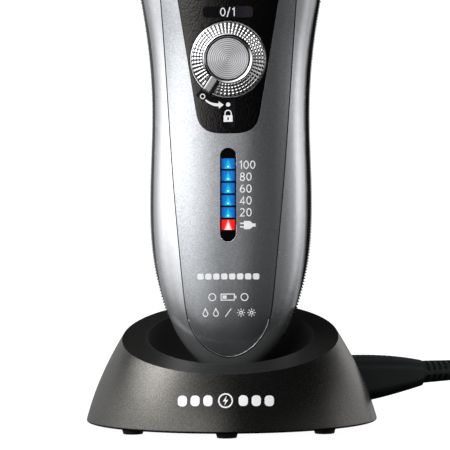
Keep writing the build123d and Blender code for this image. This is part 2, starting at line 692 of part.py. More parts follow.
def trough(y, top, radius, bottom):
    """A thin arched foil, closed by a plate at each end."""
    outside = crown(arch(y, top, radius, bottom), FOIL_SPAN)
    inside = crown(arch(y, top - FOIL_SHEET, radius - FOIL_SHEET, bottom - 2), FOIL_SPAN - 0.6)
    return outside - inside


def make_foils():
    for side, name in ((-1, "front"), (1, "rear")):
        save(f"foil_{name}", trough(side * FOIL_Y, FOIL_TOP, FOIL_RADIUS, 151.5))
        slit = trough(side * SLIT_Y, SLIT_TOP, SLIT_RADIUS, 152.5)
        cut = block(-0.3, 0.3, side * SLIT_Y - 3, side * SLIT_Y + 3, SLIT_TOP - 1.9, SLIT_TOP + 1)
        slit = slit - [fan(cut, k * SLIT_PITCH) for k in range(-14, 15)]
        save(f"slit_foil_{name}", slit)


def fan(shape, distance):
    """Turns a shape about the crown's axis, so that it moves by distance along X."""
    axis = Axis((0, 0, FOIL_TOP - CROWN_RADIUS), (0, 1, 0))
    return shape.rotate(axis, math.degrees(distance / CROWN_RADIUS))


def make_blades():
    for side, name in ((-1, "front"), (1, "rear")):
        y = side * FOIL_Y
        radius = FOIL_RADIUS - FOIL_SHEET - BLADE_GAP
        top = FOIL_TOP - FOIL_SHEET - BLADE_GAP
        carrier = block(-21, 21, y - 3.2, y + 3.2, 147.9, 150.4)
        carrier = carrier + block(-3, 3, y - 3.0, y + 3.0, 150.3, 152.6)
        fin_face = Plane.YZ * arch(y, top, radius, 150.2)
        fin = Pos(-0.25, 0, 0) * extrude(fin_face, 0.5)
        core = crown(arch(y, top - 2.6, radius - 2.6, 150.2), 20.5)
        fins = [fan(fin, (k - 11.5) * FIN_PITCH) for k in range(24)]
        blade = carrier + core + fins
        blade = blade & block(-22, 22, y - radius, y + radius, 147.9, 170)
        save(f"inner_blade_{name}", blade - rod_z(1.5, 147, 151.5, 0, y))

        y = side * SLIT_Y
        radius = SLIT_RADIUS - FOIL_SHEET - BLADE_GAP
        top = SLIT_TOP - FOIL_SHEET - BLADE_GAP
        cutter = crown(arch(y, top, radius, 150.6), 22.5)
        tooth_gap = block(-0.45, 0.45, y - 3, y + 3, top - 1.9, top + 1)
        cutter = cutter - [fan(tooth_gap, (k + 0.5) * SLIT_PITCH) for k in range(-13, 13)]
        cutter = cutter + block(-6, 6, y - 1.2, y + 1.2, 148.2, 151.5)
        save(f"slit_cutter_{name}", cutter - rod_z(0.78, 147, 151.4, 0, y))


def make_foil_frame():
    lower = Pos(0, 0, HEAD_JOINT_Z + 0.2) * RectangleRounded(2 * HEAD_HALF[0], 2 * HEAD_HALF[1], 9)
    middle = Pos(0, 0, 151.5) * RectangleRounded(2 * HEAD_HALF[0] + 0.4, 2 * HEAD_HALF[1] + 0.4, 9)
    upper = Pos(0, 0, FRAME_TOP) * RectangleRounded(2 * HEAD_HALF[0] - 1.6, 2 * HEAD_HALF[1] - 0.5, 8.5)
    frame = loft([lower, middle, upper])
    frame = frame - slab(FOIL_SPAN + 0.25, 13.95, 0.6, 140, 170)
    save("foil_frame", frame)


def main():
    os.makedirs("parts", exist_ok=True)
    make_stand()
    make_cord()
    make_front_housing()
    make_front_panel()
    make_rear_cover()
    make_gasket_and_screws()
    make_lock_ring()
    make_power_button()
    make_electronics()
    make_battery_and_chassis()
    make_neck()
    make_trimmer()
    make_head_housing()
    make_motor()
    make_foils()
    make_blades()
    make_foil_frame()


main()
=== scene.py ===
import json
import math

import bmesh
import bpy
import numpy as np
from mathutils import Matrix, Vector
from mathutils.bvhtree import BVHTree


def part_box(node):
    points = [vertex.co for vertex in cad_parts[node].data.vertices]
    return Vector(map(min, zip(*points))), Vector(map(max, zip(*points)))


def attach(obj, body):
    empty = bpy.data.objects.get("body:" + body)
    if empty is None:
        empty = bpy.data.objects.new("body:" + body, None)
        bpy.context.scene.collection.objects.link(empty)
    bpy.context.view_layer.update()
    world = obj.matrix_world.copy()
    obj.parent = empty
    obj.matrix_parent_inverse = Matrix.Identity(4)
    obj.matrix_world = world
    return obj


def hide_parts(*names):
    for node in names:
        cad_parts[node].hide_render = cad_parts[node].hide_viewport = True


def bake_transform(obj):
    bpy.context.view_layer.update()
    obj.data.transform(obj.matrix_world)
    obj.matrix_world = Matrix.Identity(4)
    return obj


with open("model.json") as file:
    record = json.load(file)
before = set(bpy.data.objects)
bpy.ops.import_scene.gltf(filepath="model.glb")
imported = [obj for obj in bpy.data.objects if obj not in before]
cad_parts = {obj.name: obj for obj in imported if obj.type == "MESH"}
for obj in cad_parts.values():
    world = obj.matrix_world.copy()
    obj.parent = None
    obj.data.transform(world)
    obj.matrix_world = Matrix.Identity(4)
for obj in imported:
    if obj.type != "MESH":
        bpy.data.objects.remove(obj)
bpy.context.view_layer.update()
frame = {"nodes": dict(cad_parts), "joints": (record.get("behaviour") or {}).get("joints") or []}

# Looks for the foil shaver in its charging stand. The CAD nodes get materials, and some of them get a finer
# visual piece. The shaver's pieces are drawn in its own frame, in millimetres: x to its right, y backwards,
# z along its length from the middle of its bottom end. TO_ROW turns that frame into the row frame, in metres.

NODES = frame["nodes"]
JOINTS = {joint["name"]: joint for joint in frame["joints"]}
UP = Vector(JOINTS["lift_out"]["axis"]).normalized()
FACE = Vector(JOINTS["lock_turn"]["axis"]).normalized()
SIDE = UP.cross(FACE)
MM = 0.001
SEAT = Matrix.Translation(Vector(JOINTS["lift_out"]["pos_m"]))
TO_ROW = SEAT @ Matrix((SIDE, -FACE, UP)).transposed().to_4x4() @ Matrix.Scale(MM, 4)
TO_LOCAL = TO_ROW.inverted()
DIAL = TO_LOCAL @ Vector(JOINTS["lock_turn"]["pos_m"])


def node_points(node):
    """A CAD node's points, in the shaver's frame."""
    return [TO_LOCAL @ v.co for v in NODES[node].data.vertices]


def node_box(node):
    """The lowest and the highest corner of a CAD node, in the shaver's frame."""
    points = node_points(node)
    return [Vector([pick(p[i] for p in points) for i in range(3)]) for pick in (min, max)]


# ---------------------------------------------------------------- materials


class Nodes:
    """Adds nodes to a tree. A value is a number, a colour, a vector or another node's output."""

    def __init__(self, tree):
        self.tree = tree

    def put(self, value, target):
        """Links or sets a value on a node's input."""
        if isinstance(value, bpy.types.NodeSocket):
            self.tree.links.new(value, target)
        else:
            target.default_value = value

    def add(self, kind, inputs=None, **settings):
        node = self.tree.nodes.new(kind)
        for key, value in settings.items():
            setattr(node, key, value)
        for key, value in (inputs or {}).items():
            self.put(value, node.inputs[key])
        return node

    def math(self, operation, a, b=0.0, c=0.0):
        return self.add("ShaderNodeMath", {0: a, 1: b, 2: c}, operation=operation).outputs[0]

    def vector(self, operation, a, b=(0, 0, 0), output="Vector"):
        return self.add("ShaderNodeVectorMath", {0: a, 1: b}, operation=operation).outputs[output]

    def split(self, vector):
        return self.add("ShaderNodeSeparateXYZ", {"Vector": vector}).outputs

    def span(self, value, low, high, out_low=0.0, out_high=1.0):
        inputs = {"Value": value, "From Min": low, "From Max": high, "To Min": out_low, "To Max": out_high}
        return self.add("ShaderNodeMapRange", inputs).outputs["Result"]


class Look(Nodes):
    """A node material with its pattern coordinates in millimetres of the piece's own frame."""

    def __init__(self, name, color, rough, metallic=0.0, coat=0.0):
        self.material = bpy.data.materials.new(name)
        self.material.use_nodes = True
        super().__init__(self.material.node_tree)
        self.shader = self.tree.nodes["Principled BSDF"]
        self.set("Base Color", (*color, 1.0))
        self.set("Roughness", rough)
        self.set("Metallic", metallic)
        self.set("Coat Weight", coat)
        self.set("Coat Roughness", 0.08)
        coords = self.add("ShaderNodeTexCoord").outputs["Object"]
        self.place = self.vector("MULTIPLY", coords, (1 / MM, 1 / MM, 1 / MM))

    def set(self, socket, value):
        self.put(value, self.shader.inputs[socket])

    def stretched(self, stretch):
        return self.vector("MULTIPLY", self.place, stretch)

    def noise(self, size, detail=3.0, stretch=(1, 1, 1), rough=0.55):
        """Cloudy noise, with features of about size millimetres."""
        inputs = {"Vector": self.stretched(stretch), "Scale": 1.0 / size}
        inputs.update({"Detail": detail, "Roughness": rough})
        return self.add("ShaderNodeTexNoise", inputs).outputs["Fac"]

    def cells(self, size, output, stretch=(1, 1, 1)):
        inputs = {"Vector": self.stretched(stretch), "Scale": 1.0 / size}
        return self.add("ShaderNodeTexVoronoi", inputs).outputs[output]

    def along(self, direction):
        """Distance along a direction from the shaver's bottom end, in millimetres."""
        reach = self.vector("DOT_PRODUCT", self.place, tuple(direction), "Value")
        return self.math("SUBTRACT", reach, direction.dot(TO_ROW.translation) / MM)

    def blend(self, factor, a, b):
        """The colour a at factor 0 and b at factor 1."""
        node = self.add("ShaderNodeMix", data_type="RGBA")
        colors = [i for i in node.inputs if i.type == "RGBA"]
        self.put(factor, node.inputs["Factor"])
        for target, color in zip(colors, (a, b)):
            self.put(color if isinstance(color, bpy.types.NodeSocket) else (*color, 1.0), target)
        return [o for o in node.outputs if o.type == "RGBA"][0]

    def bump(self, height, depth):
        """Adds relief of depth millimetres; later calls add to earlier ones."""
        inputs = {"Height": height, "Distance": depth * MM, "Strength": 1.0}
        before = self.shader.inputs["Normal"].links
        if before:
            inputs["Normal"] = before[0].from_socket
        self.set("Normal", self.add("ShaderNodeBump", inputs).outputs["Normal"])

    def worn(self, rough_low, rough_high, size=6.0):
        """Roughness that changes in soft patches, with faint hairline scratches."""
        hair = self.math("MULTIPLY", self.noise(0.25, 2.0, (0.04, 1.0, 1.0)), 0.25)
        mixed = self.math("MULTIPLY_ADD", self.noise(size, 4.0), 0.75, hair)
        self.set("Roughness", self.span(mixed, 0.3, 0.7, rough_low, rough_high))


def scaled(color, factor, extra=0.0):
    return tuple(c * factor + extra for c in color)


def plastic(name, color, rough, grain=0.12, depth=0.02, coat=0.0, specular=0.5):
    """Moulded plastic: fine spark-eroded grain, soft colour drift and uneven gloss."""
    look = Look(name, color, rough, coat=coat)
    look.set("Base Color", look.blend(look.span(look.noise(9.0), 0.35, 0.65), scaled(color, 0.75), color))
    look.set("Specular IOR Level", specular)
    look.worn(rough * 0.85, min(1.0, rough * 1.15))
    look.bump(look.noise(grain, 2.0), depth)
    look.bump(look.noise(3.0, 2.0), 0.01)
    return look


def silver_paint(name, color, rough, flake, sparkle):
    """Metallic lacquer under a clear coat: each flake has its own brightness and tilt. rough is a span."""
    look = Look(name, color, rough[0], metallic=0.88, coat=0.3)
    grey = look.add("ShaderNodeSeparateColor", {"Color": look.cells(flake, "Color")}).outputs[0]
    cloud = look.noise(flake * 1.6, 2.0, rough=0.7)
    mixed = look.math("MULTIPLY", look.math("ADD", grey, cloud), 0.5)
    shades = (scaled(color, 1.0 - sparkle), scaled(color, 1.0 + sparkle))
    look.set("Base Color", look.blend(look.span(mixed, 0.25, 0.75), *shades))
    look.worn(*rough)
    look.bump(mixed, 0.02 * sparkle)
    return look


def metal(name, color, rough, stretch=(0.05, 1, 1), depth=0.004):
    """Ground or drawn metal: fine lines along one direction, with duller patches."""
    look = Look(name, color, rough, metallic=1.0)
    lines = look.noise(0.12, 3.0, stretch)
    look.worn(rough * 0.8, rough * 1.4, 4.0)
    look.set("Base Color", look.blend(look.span(lines, 0.3, 0.7), scaled(color, 0.85), color))
    look.bump(lines, depth)
    return look


def rubber(name, color, rough=0.75, specular=0.5):
    """Matt rubber with a trace of dust."""
    look = Look(name, color, rough)
    dust = look.span(look.noise(1.2, 5.0), 0.4, 0.8)
    look.set("Base Color", look.blend(dust, color, scaled(color, 1.5, 0.004)))
    look.set("Specular IOR Level", specular)
    look.worn(rough * 0.9, min(1.0, rough * 1.15), 3.0)
    look.bump(look.noise(0.15), 0.02)
    return look


def flat_print(name, color):
    """Printed ink, slightly patchy, with a painted glow that keeps it bright and legible in shade."""
    look = Look(name, color, 0.45)
    # painted light: the ink glows faintly, though it is no lamp
    look.set("Emission Color", (*color, 1.0))
    look.set("Emission Strength", 0.30)
    look.set("Base Color", look.blend(look.span(look.noise(0.3), 0.3, 0.7), scaled(color, 0.93), color))
    look.bump(look.noise(0.08, 2.0), 0.004)
    return look


WELL_MOUTH = (26.6, 23.0)  # half width and half depth of the well in the stand
WELL_FORWARD = 2.8  # the well's middle is this far in front of the stand's


def stand_look():
    """Satin black lacquer with fine bright specks outside, and a matt well and top face."""
    look = Look("stand_black", (0.0, 0.0, 0.0), 0.26)
    low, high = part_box("stand_shell")
    centre = (low + high) / 2 / MM
    x, y, _ = look.split(look.place)
    across = look.math("DIVIDE", look.math("SUBTRACT", x, centre.x), WELL_MOUTH[0])
    deep = look.math("DIVIDE", look.math("SUBTRACT", y, centre.y - WELL_FORWARD), WELL_MOUTH[1])
    reach = look.math("MULTIPLY_ADD", across, across, look.math("MULTIPLY", deep, deep))
    well = look.span(reach, 1.04, 0.98)
    upwards = look.split(look.add("ShaderNodeNewGeometry").outputs["True Normal"])[2]
    matt = look.math("MAXIMUM", well, look.math("MULTIPLY", look.span(upwards, 0.80, 0.93), 0.8))
    blacks = ((0.0028, 0.0040, 0.0036), (0.0058, 0.0064, 0.0058))
    shade = look.blend(look.span(look.noise(0.5), 0.35, 0.65), *blacks)
    look.set("Base Color", look.blend(look.math("MULTIPLY", well, 0.5), shade, (0.030, 0.032, 0.031)))
    rough = look.span(look.noise(0.6), 0.3, 0.7, 0.22, 0.30)
    look.set("Roughness", look.math("MULTIPLY_ADD", matt, 0.30, rough))
    gloss = look.span(matt, 0.0, 1.0, 0.80, 0.20)
    specks = look.span(look.noise(0.22, 1.0, rough=0.3), 0.3, 0.7, 0.6, 1.4)
    look.set("Specular IOR Level", look.math("MULTIPLY", gloss, specks))
    look.set("Specular Tint", (1.0, 0.955, 0.885, 1.0))
    look.bump(look.noise(0.30, 2.0), 0.014)
    return look


def plate_look():
    """Gloss black print with a painted reflection that makes it a little lighter towards the right."""
    look = plastic("plate_black", (0.0, 0.0, 0.0), 0.3, 0.4, 0.003, specular=0.08)
    grain = look.span(look.noise(0.4), 0.3, 0.7, 0.8, 1.0)
    # painted reflection: the colour lightens towards the shaver's right, with a little grain
    shade = look.math("MULTIPLY", look.span(look.split(look.place)[0], 0.0, 6.0), grain)
    look.set("Base Color", look.blend(shade, (0.002, 0.0015, 0.003), (0.030, 0.025, 0.036)))
    return look


def button_look():
    """Turned metal with painted light and dark rings round its middle, the painted shading of its turning
    grooves.
    """
    look = metal("button_metal", (0.50, 0.50, 0.52), 0.50, (1, 1, 1), 0.002)
    ring_pitch = 0.62
    radius = look.vector("LENGTH", look.stretched((1, 1, 0)), output="Value")
    wave = look.math("SINE", look.math("MULTIPLY", radius, 2 * math.pi / ring_pitch))
    # painted shade and highlight: light and dark rings in the colour stand in for the shading of the turning
    # grooves
    look.set("Base Color", look.blend(look.span(wave, -1.0, 1.0), (0.36, 0.36, 0.375), (0.86, 0.86, 0.88)))
    return look


def leather_look():
    """Black leather whose shine fades from the shaver's left to its middle."""
    look = plastic("leather_black", (0.0035, 0.003, 0.003), 0.22, 0.12, 0.008)
    look.set("Specular Tint", (1.0, 0.96, 0.93, 1.0))
    look.set("Specular IOR Level", look.span(look.along(SIDE), -13.0, 1.0, 0.62, 0.06))
    return look


LENS_PITCH = 3.88
LENS_LOW = node_box("low_battery_lens")[0].z


def segment_look(name, deep, mid, core, core_share):
    """A lit light guide: dark at its edges, with a bright core low in its middle and a spark in it."""
    look = Look(name, deep, 0.15)
    look.set("Specular IOR Level", 0.25)
    across = look.along(SIDE)
    side = look.math("ABSOLUTE", across)
    height = look.math("MODULO", look.math("ADD", look.along(UP), LENS_PITCH * 40 - LENS_LOW), LENS_PITCH)
    facets = look.span(look.cells(0.9, "Distance", (1, 0.1, 0.8)), 0.0, 0.6, 0.55, 1.0)
    color = look.blend(look.math("MULTIPLY", look.span(side, 2.1, 1.2), facets), deep, mid)
    slant = look.math("MULTIPLY_ADD", height, 0.36, side)
    color = look.blend(look.span(slant, 1.35, 0.75, 0.0, core_share), color, core)
    rise = look.math("SUBTRACT", height, 0.62)
    squares = look.math("MULTIPLY_ADD", across, across, look.math("MULTIPLY", rise, rise))
    spark = look.span(look.math("SQRT", squares), 0.34, 0.12, 0.0, 0.9)
    color = look.blend(spark, color, (0.95, 0.97, 1.0))
    look.set("Base Color", color)
    look.set("Emission Color", color)
    look.set("Emission Strength", 0.75)
    look.bump(look.noise(0.5, 1.0), 0.01)
    return look


LENS_BLUES = ((0.0, 0.05, 0.27), (0.0, 0.145, 0.47), (0.0, 0.48, 0.60))
LENS_REDS = ((0.60, 0.0, 0.0), (0.95, 0.01, 0.01), (1.0, 0.62, 0.60))
EVEN = (1, 1, 1)
ACROSS = (1, 1, 0.05)
PANEL_SILVER = silver_paint("panel_silver", (0.43, 0.445, 0.465), (0.22, 0.24), 0.28, 0.12)
GRIP_RUBBER = rubber("grip_rubber", (0.040, 0.043, 0.047), 0.62)
WHITE_PRINT = flat_print("white_print", (0.85, 0.86, 0.87))
PLATE_BLACK = plate_look()
RING_METAL = metal("ring_chrome", (0.80, 0.80, 0.81), 0.09, EVEN, 0.001)
BUTTON_METAL = button_look()
TAB_METAL = metal("tab_metal", (0.46, 0.46, 0.47), 0.36, EVEN, 0.002)
# painted highlight: metal much brighter than the panel, for thin beads along the panel's bevelled edges
EDGE_HIGHLIGHT_METAL = metal("painted_edge_highlight", (0.85, 0.86, 0.88), 0.40, (1, 1, 0.1), 0.001)
LEATHER = leather_look()
# painted shadow: black for a tube that darkens the groove round the panel
GROOVE_SHADOW_BLACK = rubber("painted_groove_shadow", (0.004, 0.004, 0.004), 0.6, 0.1)
BELLOWS_RUBBER = rubber("bellows_rubber", (0.016, 0.016, 0.018), 0.55)
FOIL_METAL = metal("foil_nickel", (0.74, 0.74, 0.76), 0.18, EVEN, 0.001)

MATERIALS = {
    "stand_shell": stand_look(),
    "stand_base": plastic("base_black", (0.022, 0.022, 0.023), 0.6, 0.4, 0.05),
    "stand_feet": rubber("foot_rubber", (0.014, 0.014, 0.015)),
    "stand_screws": metal("screw_zinc", (0.55, 0.56, 0.58), 0.35),
    "charge_pins": metal("contact_gold", (0.86, 0.62, 0.25), 0.25),
    "charge_plug": plastic("plug_black", (0.015, 0.020, 0.022), 0.42, 0.35, 0.05),
    "plug_strain_relief": plastic("relief_black", (0.026, 0.030, 0.031), 0.45, 0.3, 0.04),
    "power_cord": rubber("cord_black", (0.016, 0.017, 0.018), 0.5),
    "front_housing": silver_paint("housing_silver", (0.70, 0.71, 0.74), (0.204, 0.288), 0.12, 0.06),
    "rear_cover": plastic("rear_black", (0.010, 0.010, 0.011), 0.34, 0.35, 0.02),
    "front_panel": PANEL_SILVER,
    "side_grips": GRIP_RUBBER,
    "inner_chassis": plastic("chassis_grey", (0.35, 0.35, 0.34), 0.55),
    "battery": plastic("cell_wrap", (0.03, 0.12, 0.08), 0.25, 0.5, 0.01, coat=0.4),
    "battery_tabs": metal("tab_nickel", (0.7, 0.69, 0.65), 0.3),
    "circuit_board": plastic("board_green", (0.01, 0.08, 0.03), 0.35, 0.6, 0.05, coat=0.5),
    "indicator_leds": plastic("diode_white", (0.75, 0.72, 0.62), 0.4),
    "display_bezel": plastic("window_black", (0.001, 0.001, 0.001), 0.2, 0.5, 0.004, specular=0.05),
    "charge_lenses": segment_look("lens_blue", *LENS_BLUES, 0.75),
    "low_battery_lens": segment_look("lens_red", *LENS_REDS, 0.9),
    "tact_switch": plastic("switch_grey", (0.25, 0.25, 0.25), 0.5),
    "housing_gasket": rubber("gasket_black", (0.015, 0.015, 0.016)),
    "housing_screws": metal("screw_steel", (0.5, 0.5, 0.52), 0.35),
    "charge_socket": plastic("socket_black", (0.02, 0.02, 0.02), 0.5),
    "button_seal": rubber("seal_black", (0.02, 0.02, 0.02)),
    "button_spring": metal("spring_wire", (0.6, 0.6, 0.62), 0.25, EVEN),
    "neck_deck": plastic("deck_black", (0.02, 0.02, 0.022), 0.45),
    "trimmer_pin": metal("pin_steel", (0.6, 0.6, 0.62), 0.2),
    "ring_retainer": plastic("retainer_grey", (0.3, 0.3, 0.3), 0.5),
    "head_housing": silver_paint("head_silver", (0.36, 0.37, 0.39), (0.238, 0.336), 0.2, 0.12),
    "pivot_pins": metal("pivot_steel", (0.55, 0.55, 0.57), 0.22),
    "motor_core": metal("core_iron", (0.25, 0.25, 0.26), 0.5, ACROSS, 0.02),
    "motor_coil": metal("coil_copper", (0.72, 0.33, 0.16), 0.35, (0.05, 0.05, 1), 0.03),
    "motor_cover": plastic("cover_black", (0.02, 0.02, 0.022), 0.4),
    "drive_seals": rubber("drive_seal", (0.02, 0.02, 0.022)),
    "foil_frame": plastic("frame_black", (0.012, 0.012, 0.014), 0.22, 0.5, 0.006, coat=0.6),
    "trimmer_arm": plastic("trimmer_black", (0.022, 0.022, 0.024), 0.38),
    "trimmer_comb": metal("comb_steel", (0.6, 0.6, 0.62), 0.25, ACROSS),
    "trimmer_cutter": metal("cutter_steel", (0.5, 0.5, 0.52), 0.25, ACROSS),
    "trimmer_switch": plastic("switch_black", (0.022, 0.022, 0.024), 0.42),
}
for end in ("front", "rear"):
    MATERIALS[f"drive_slider_{end}"] = plastic(f"slider_{end}", (0.5, 0.5, 0.48), 0.45)
    MATERIALS[f"magnet_{end}"] = metal(f"magnet_{end}", (0.62, 0.6, 0.56), 0.25, EVEN)
    MATERIALS[f"inner_blade_{end}"] = metal(f"blade_{end}", (0.55, 0.55, 0.57), 0.28, ACROSS)
    MATERIALS[f"slit_cutter_{end}"] = metal(f"cutter_{end}", (0.5, 0.5, 0.52), 0.28, ACROSS)
    MATERIALS[f"foil_{end}"] = metal(f"foil_{end}", (0.66, 0.66, 0.68), 0.22)
    MATERIALS[f"slit_foil_{end}"] = metal(f"slit_{end}", (0.72, 0.7, 0.62), 0.22)
for hand in ("left", "right"):
    MATERIALS[f"release_button_{hand}"] = plastic(f"release_{hand}", (0.03, 0.03, 0.032), 0.35)

for node, look in MATERIALS.items():
    mesh = NODES[node].data
    mesh.materials.clear()
    mesh.materials.append(look.material)


# ---------------------------------------------------------------- geometry helpers


def new_piece(name, mesh, material, body=None, place=None):
    """Puts a mesh into the scene as a piece, with its material, place and body."""
    mesh.materials.append(material)
    piece = bpy.data.objects.new(name, mesh)
    bpy.context.scene.collection.objects.link(piece)
    if place is not None:
        piece.matrix_world = place
    if body:
        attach(piece, body)
    return piece


def add_mesh(name, verts, faces, look, body=None, slot=None, smooth=False, place=None):
    """A piece from points in millimetres: in the shaver's frame, or in the frame that place gives."""
    to_place = TO_ROW if place is None else Matrix.Scale(MM, 4)
    mesh = bpy.data.meshes.new(name)
    mesh.from_pydata([to_place @ Vector(v) for v in verts], [], faces)
    mesh.validate()
    if smooth:
        mesh.shade_smooth()
    return new_piece(name, mesh, look.material, body, place)


def into_mesh(work, name):
    """A mesh made from a bmesh, which is freed."""
    mesh = bpy.data.meshes.new(name)
    work.to_mesh(mesh)
    work.free()
    return mesh


def weld(piece):
    """Joins points that coincide and turns every face outwards."""
    work = bmesh.new()
    work.from_mesh(piece.data)
    bmesh.ops.remove_doubles(work, verts=work.verts, dist=1e-7)
    bmesh.ops.recalc_face_normals(work, faces=work.faces)
    work.to_mesh(piece.data)
    work.free()


def join(*shapes):
    """Several (points, faces) shapes as one."""
    points, faces = [], []
    for more_points, more_faces in shapes:
        start = len(points)
        points += more_points
        faces += [tuple(start + i for i in f) for f in more_faces]
    return points, faces


def surface(*nodes):
    """A search tree over CAD nodes' meshes, in the shaver's frame."""
    verts, faces = [], []
    for node in nodes:
        start = len(verts)
        verts += node_points(node)
        faces += [[start + i for i in p.vertices] for p in NODES[node].data.polygons]
    return BVHTree.FromPolygons(verts, faces)


def front_of(tree, x, z):
    """The foremost point of a surface at x and z, or None."""
    return tree.ray_cast(Vector((x, -80, z)), Vector((0, 1, 0)))[0]


def reach_of(tree, z, low, high, steps):
    """How far a surface goes to the right at height z, between low and high, by bisection."""
    for _ in range(steps):
        middle = (low + high) / 2
        low, high = (middle, high) if front_of(tree, middle, z) else (low, middle)
    return low


# ---------------------------------------------------------------- lock ring and power button

RING_OUTER = 11.9
RING_INNER = 7.0
KNURLED = (7.95, 11.75)  # inner and outer radius of the knurled cone
CONE_FOOT, CONE_TOP = 1.45, 3.15  # height of the cone at the ring's edge, and at CONE_INNER
CONE_INNER = 7.9
KNURL_COLUMNS = 54
KNURL_ROWS = 4
KNURL_STEPS = 8
KNURL_DEPTH = 0.42
POINTER_TURN = math.radians(270 - 33.5)
POINTER_CLEAR = 2.0  # no knurls this near the pointer's middle line


def dial_matrix():
    """Dial frame in the row frame: X to the shaver's right, Y up along it, Z out of its face, in metres."""
    return Matrix.Translation(TO_ROW @ DIAL) @ Matrix((SIDE, UP, FACE)).transposed().to_4x4()


def turned(profile, steps):
    """A profile of (radius, height) points turned about the dial's axis."""
    verts, faces = [], []
    n = len(profile)
    for k in range(steps):
        turn = 2 * math.pi * k / steps
        verts += [(r * math.cos(turn), r * math.sin(turn), h) for r, h in profile]
        a, b = k * n, (k + 1) % steps * n
        faces += [(a + i, b + i, b + i + 1, a + i + 1) for i in range(n - 1)]
    return verts, faces


def ring_height(radius):
    """Height of the ring's cone above the dial's base."""
    return CONE_FOOT + (RING_OUTER - radius) * (CONE_TOP - CONE_FOOT) / (RING_OUTER - CONE_INNER)


def knurls():
    """The ring's cone with rows of raised points, and plain where the pointer stands."""
    inner, outer = KNURLED
    around, across = KNURL_COLUMNS * KNURL_STEPS, KNURL_ROWS * KNURL_STEPS
    n = across + 1
    verts, faces = [], []
    for i in range(around):
        turn = 2 * math.pi * i / around
        off = (turn - POINTER_TURN + math.pi) % (2 * math.pi) - math.pi
        for k in range(n):
            r = inner + (outer - inner) * k / across
            phases = (i / KNURL_STEPS, k / KNURL_STEPS + 0.5)
            wave = 0.5 * sum(math.cos(2 * math.pi * phase) for phase in phases)
            plain = abs(math.sin(off)) * r < POINTER_CLEAR and abs(off) < 1
            depth = 0.0 if plain else KNURL_DEPTH * (0.5 - 0.5 * wave) ** 1.3
            verts.append((r * math.cos(turn), r * math.sin(turn), ring_height(r) - depth))
        a, b = i * n, (i + 1) % around * n
        faces += [(a + k, a + k + 1, b + k + 1, b + k) for k in range(across)]
    return verts, faces


def dial_piece(name, shape, look, body, slot, node):
    """A closed piece in the dial's frame, in place of a CAD node."""
    piece = add_mesh(name, *shape, look, body, slot, place=dial_matrix())
    weld(piece)
    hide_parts(node)


def knurled_ring():
    inner, outer = KNURLED
    edge = [(RING_INNER, -3.0), (RING_INNER, 2.75), (7.15, 2.95), (7.7, 3.3), (inner, ring_height(inner))]
    rim = [(outer, ring_height(outer) - 0.1), (RING_OUTER, 1.3), (RING_OUTER, 0.12), (11.7, 0.0)]
    columns = 2 * KNURL_COLUMNS
    shape = join(turned(edge, columns), turned(rim, columns), knurls())
    dial_piece("knurled_ring", shape, RING_METAL, "lock_dial", "ring_silver", "lock_ring")


def pointer_tab():
    """The ring's pointer: a bar with rounded edges that slopes down and widens towards its foot."""
    bar = bmesh.new()
    bmesh.ops.create_cube(bar, size=1.0)
    for vert in bar.verts:
        x, y, z = vert.co
        top = z > 0
        radial = 7.3 if x < 0 else (12.3 if top else 12.7)
        across = y * 2 * (1.2 if top else 1.65)
        height = (3.9 if x < 0 else 3.25) if top else 0.5
        vert.co = Vector((radial, across, height)) * MM
    bmesh.ops.bevel(bar, geom=list(bar.edges), offset=0.40 * MM, segments=3, affect="EDGES", profile=0.6)
    place = dial_matrix() @ Matrix.Rotation(POINTER_TURN, 4, "Z")
    mesh = into_mesh(bar, "pointer_tab")
    new_piece("pointer_tab", mesh, TAB_METAL.material, "lock_dial", place)


def turned_button():
    """A flat cap with fine concentric turning marks and a small bright chamfer, on its stem."""
    groove, relief, top = 0.37, 0.018, 3.02
    profile = [(0.0, -2.9), (2.2, -2.9), (2.2, 1.6), (6.6, 1.6), (6.65, 1.7), (6.65, top - 0.32), (6.38, top)]
    for k in range(int(6.3 / groove), 0, -1):
        profile += [(k * groove, top - relief), ((k - 0.5) * groove, top + relief)]
    profile.append((0.0, top))
    cap = turned(profile, 120)
    dial_piece("turned_button", cap, BUTTON_METAL, "power_key", "button_silver", "power_button")


# ---------------------------------------------------------------- leather inlay

GRAIN_CELL = 0.78
GRAIN_HEIGHT = 0.042
FOLD_CELL = 2.6
FOLD_HEIGHT = 0.018
LEATHER_ROWS, LEATHER_COLUMNS = 300, 180
RING_HOLE = 12.15  # radius of the inlay's hole round the lock ring
LEATHER_WALL = 0.6


def jitter(ix, iz):
    """A repeatable pair of numbers between 0 and 1 for each cell of a grid."""
    a = np.sin(ix * 127.1 + iz * 311.7) * 43758.5453
    b = np.sin(ix * 269.5 + iz * 183.3) * 43758.5453
    return a - np.floor(a), b - np.floor(b)


def leather_relief(x, z, cell):
    """Height from 0 in the creases to 1 on the pebbles of a leather grain."""
    across, along = 0.85 * x - 0.53 * z, 0.53 * x + 0.85 * z
    gx, gz = across / cell, along / (cell * 1.3)
    ix, iz = np.floor(gx), np.floor(gz)
    near = np.full(x.shape, 9.0)
    second = np.full(x.shape, 9.0)
    for dx in (-1, 0, 1):
        for dz in (-1, 0, 1):
            a, b = jitter(ix + dx, iz + dz)
            d = np.hypot(ix + dx + a - gx, iz + dz + b - gz)
            second = np.minimum(second, np.maximum(near, d))
            near = np.minimum(near, d)
    crease = np.clip((second - near) / 0.30, 0, 1)
    return crease * crease * (3 - 2 * crease)


def inlay_half_width(tree, z):
    """How far the inlay reaches to the side at height z."""
    beside = 12.3
    low = 0.0
    if abs(z - DIAL.z) < beside:
        low = math.sqrt(beside ** 2 - (z - DIAL.z) ** 2) + 0.02
    return reach_of(tree, z, low, 25.0, 14)


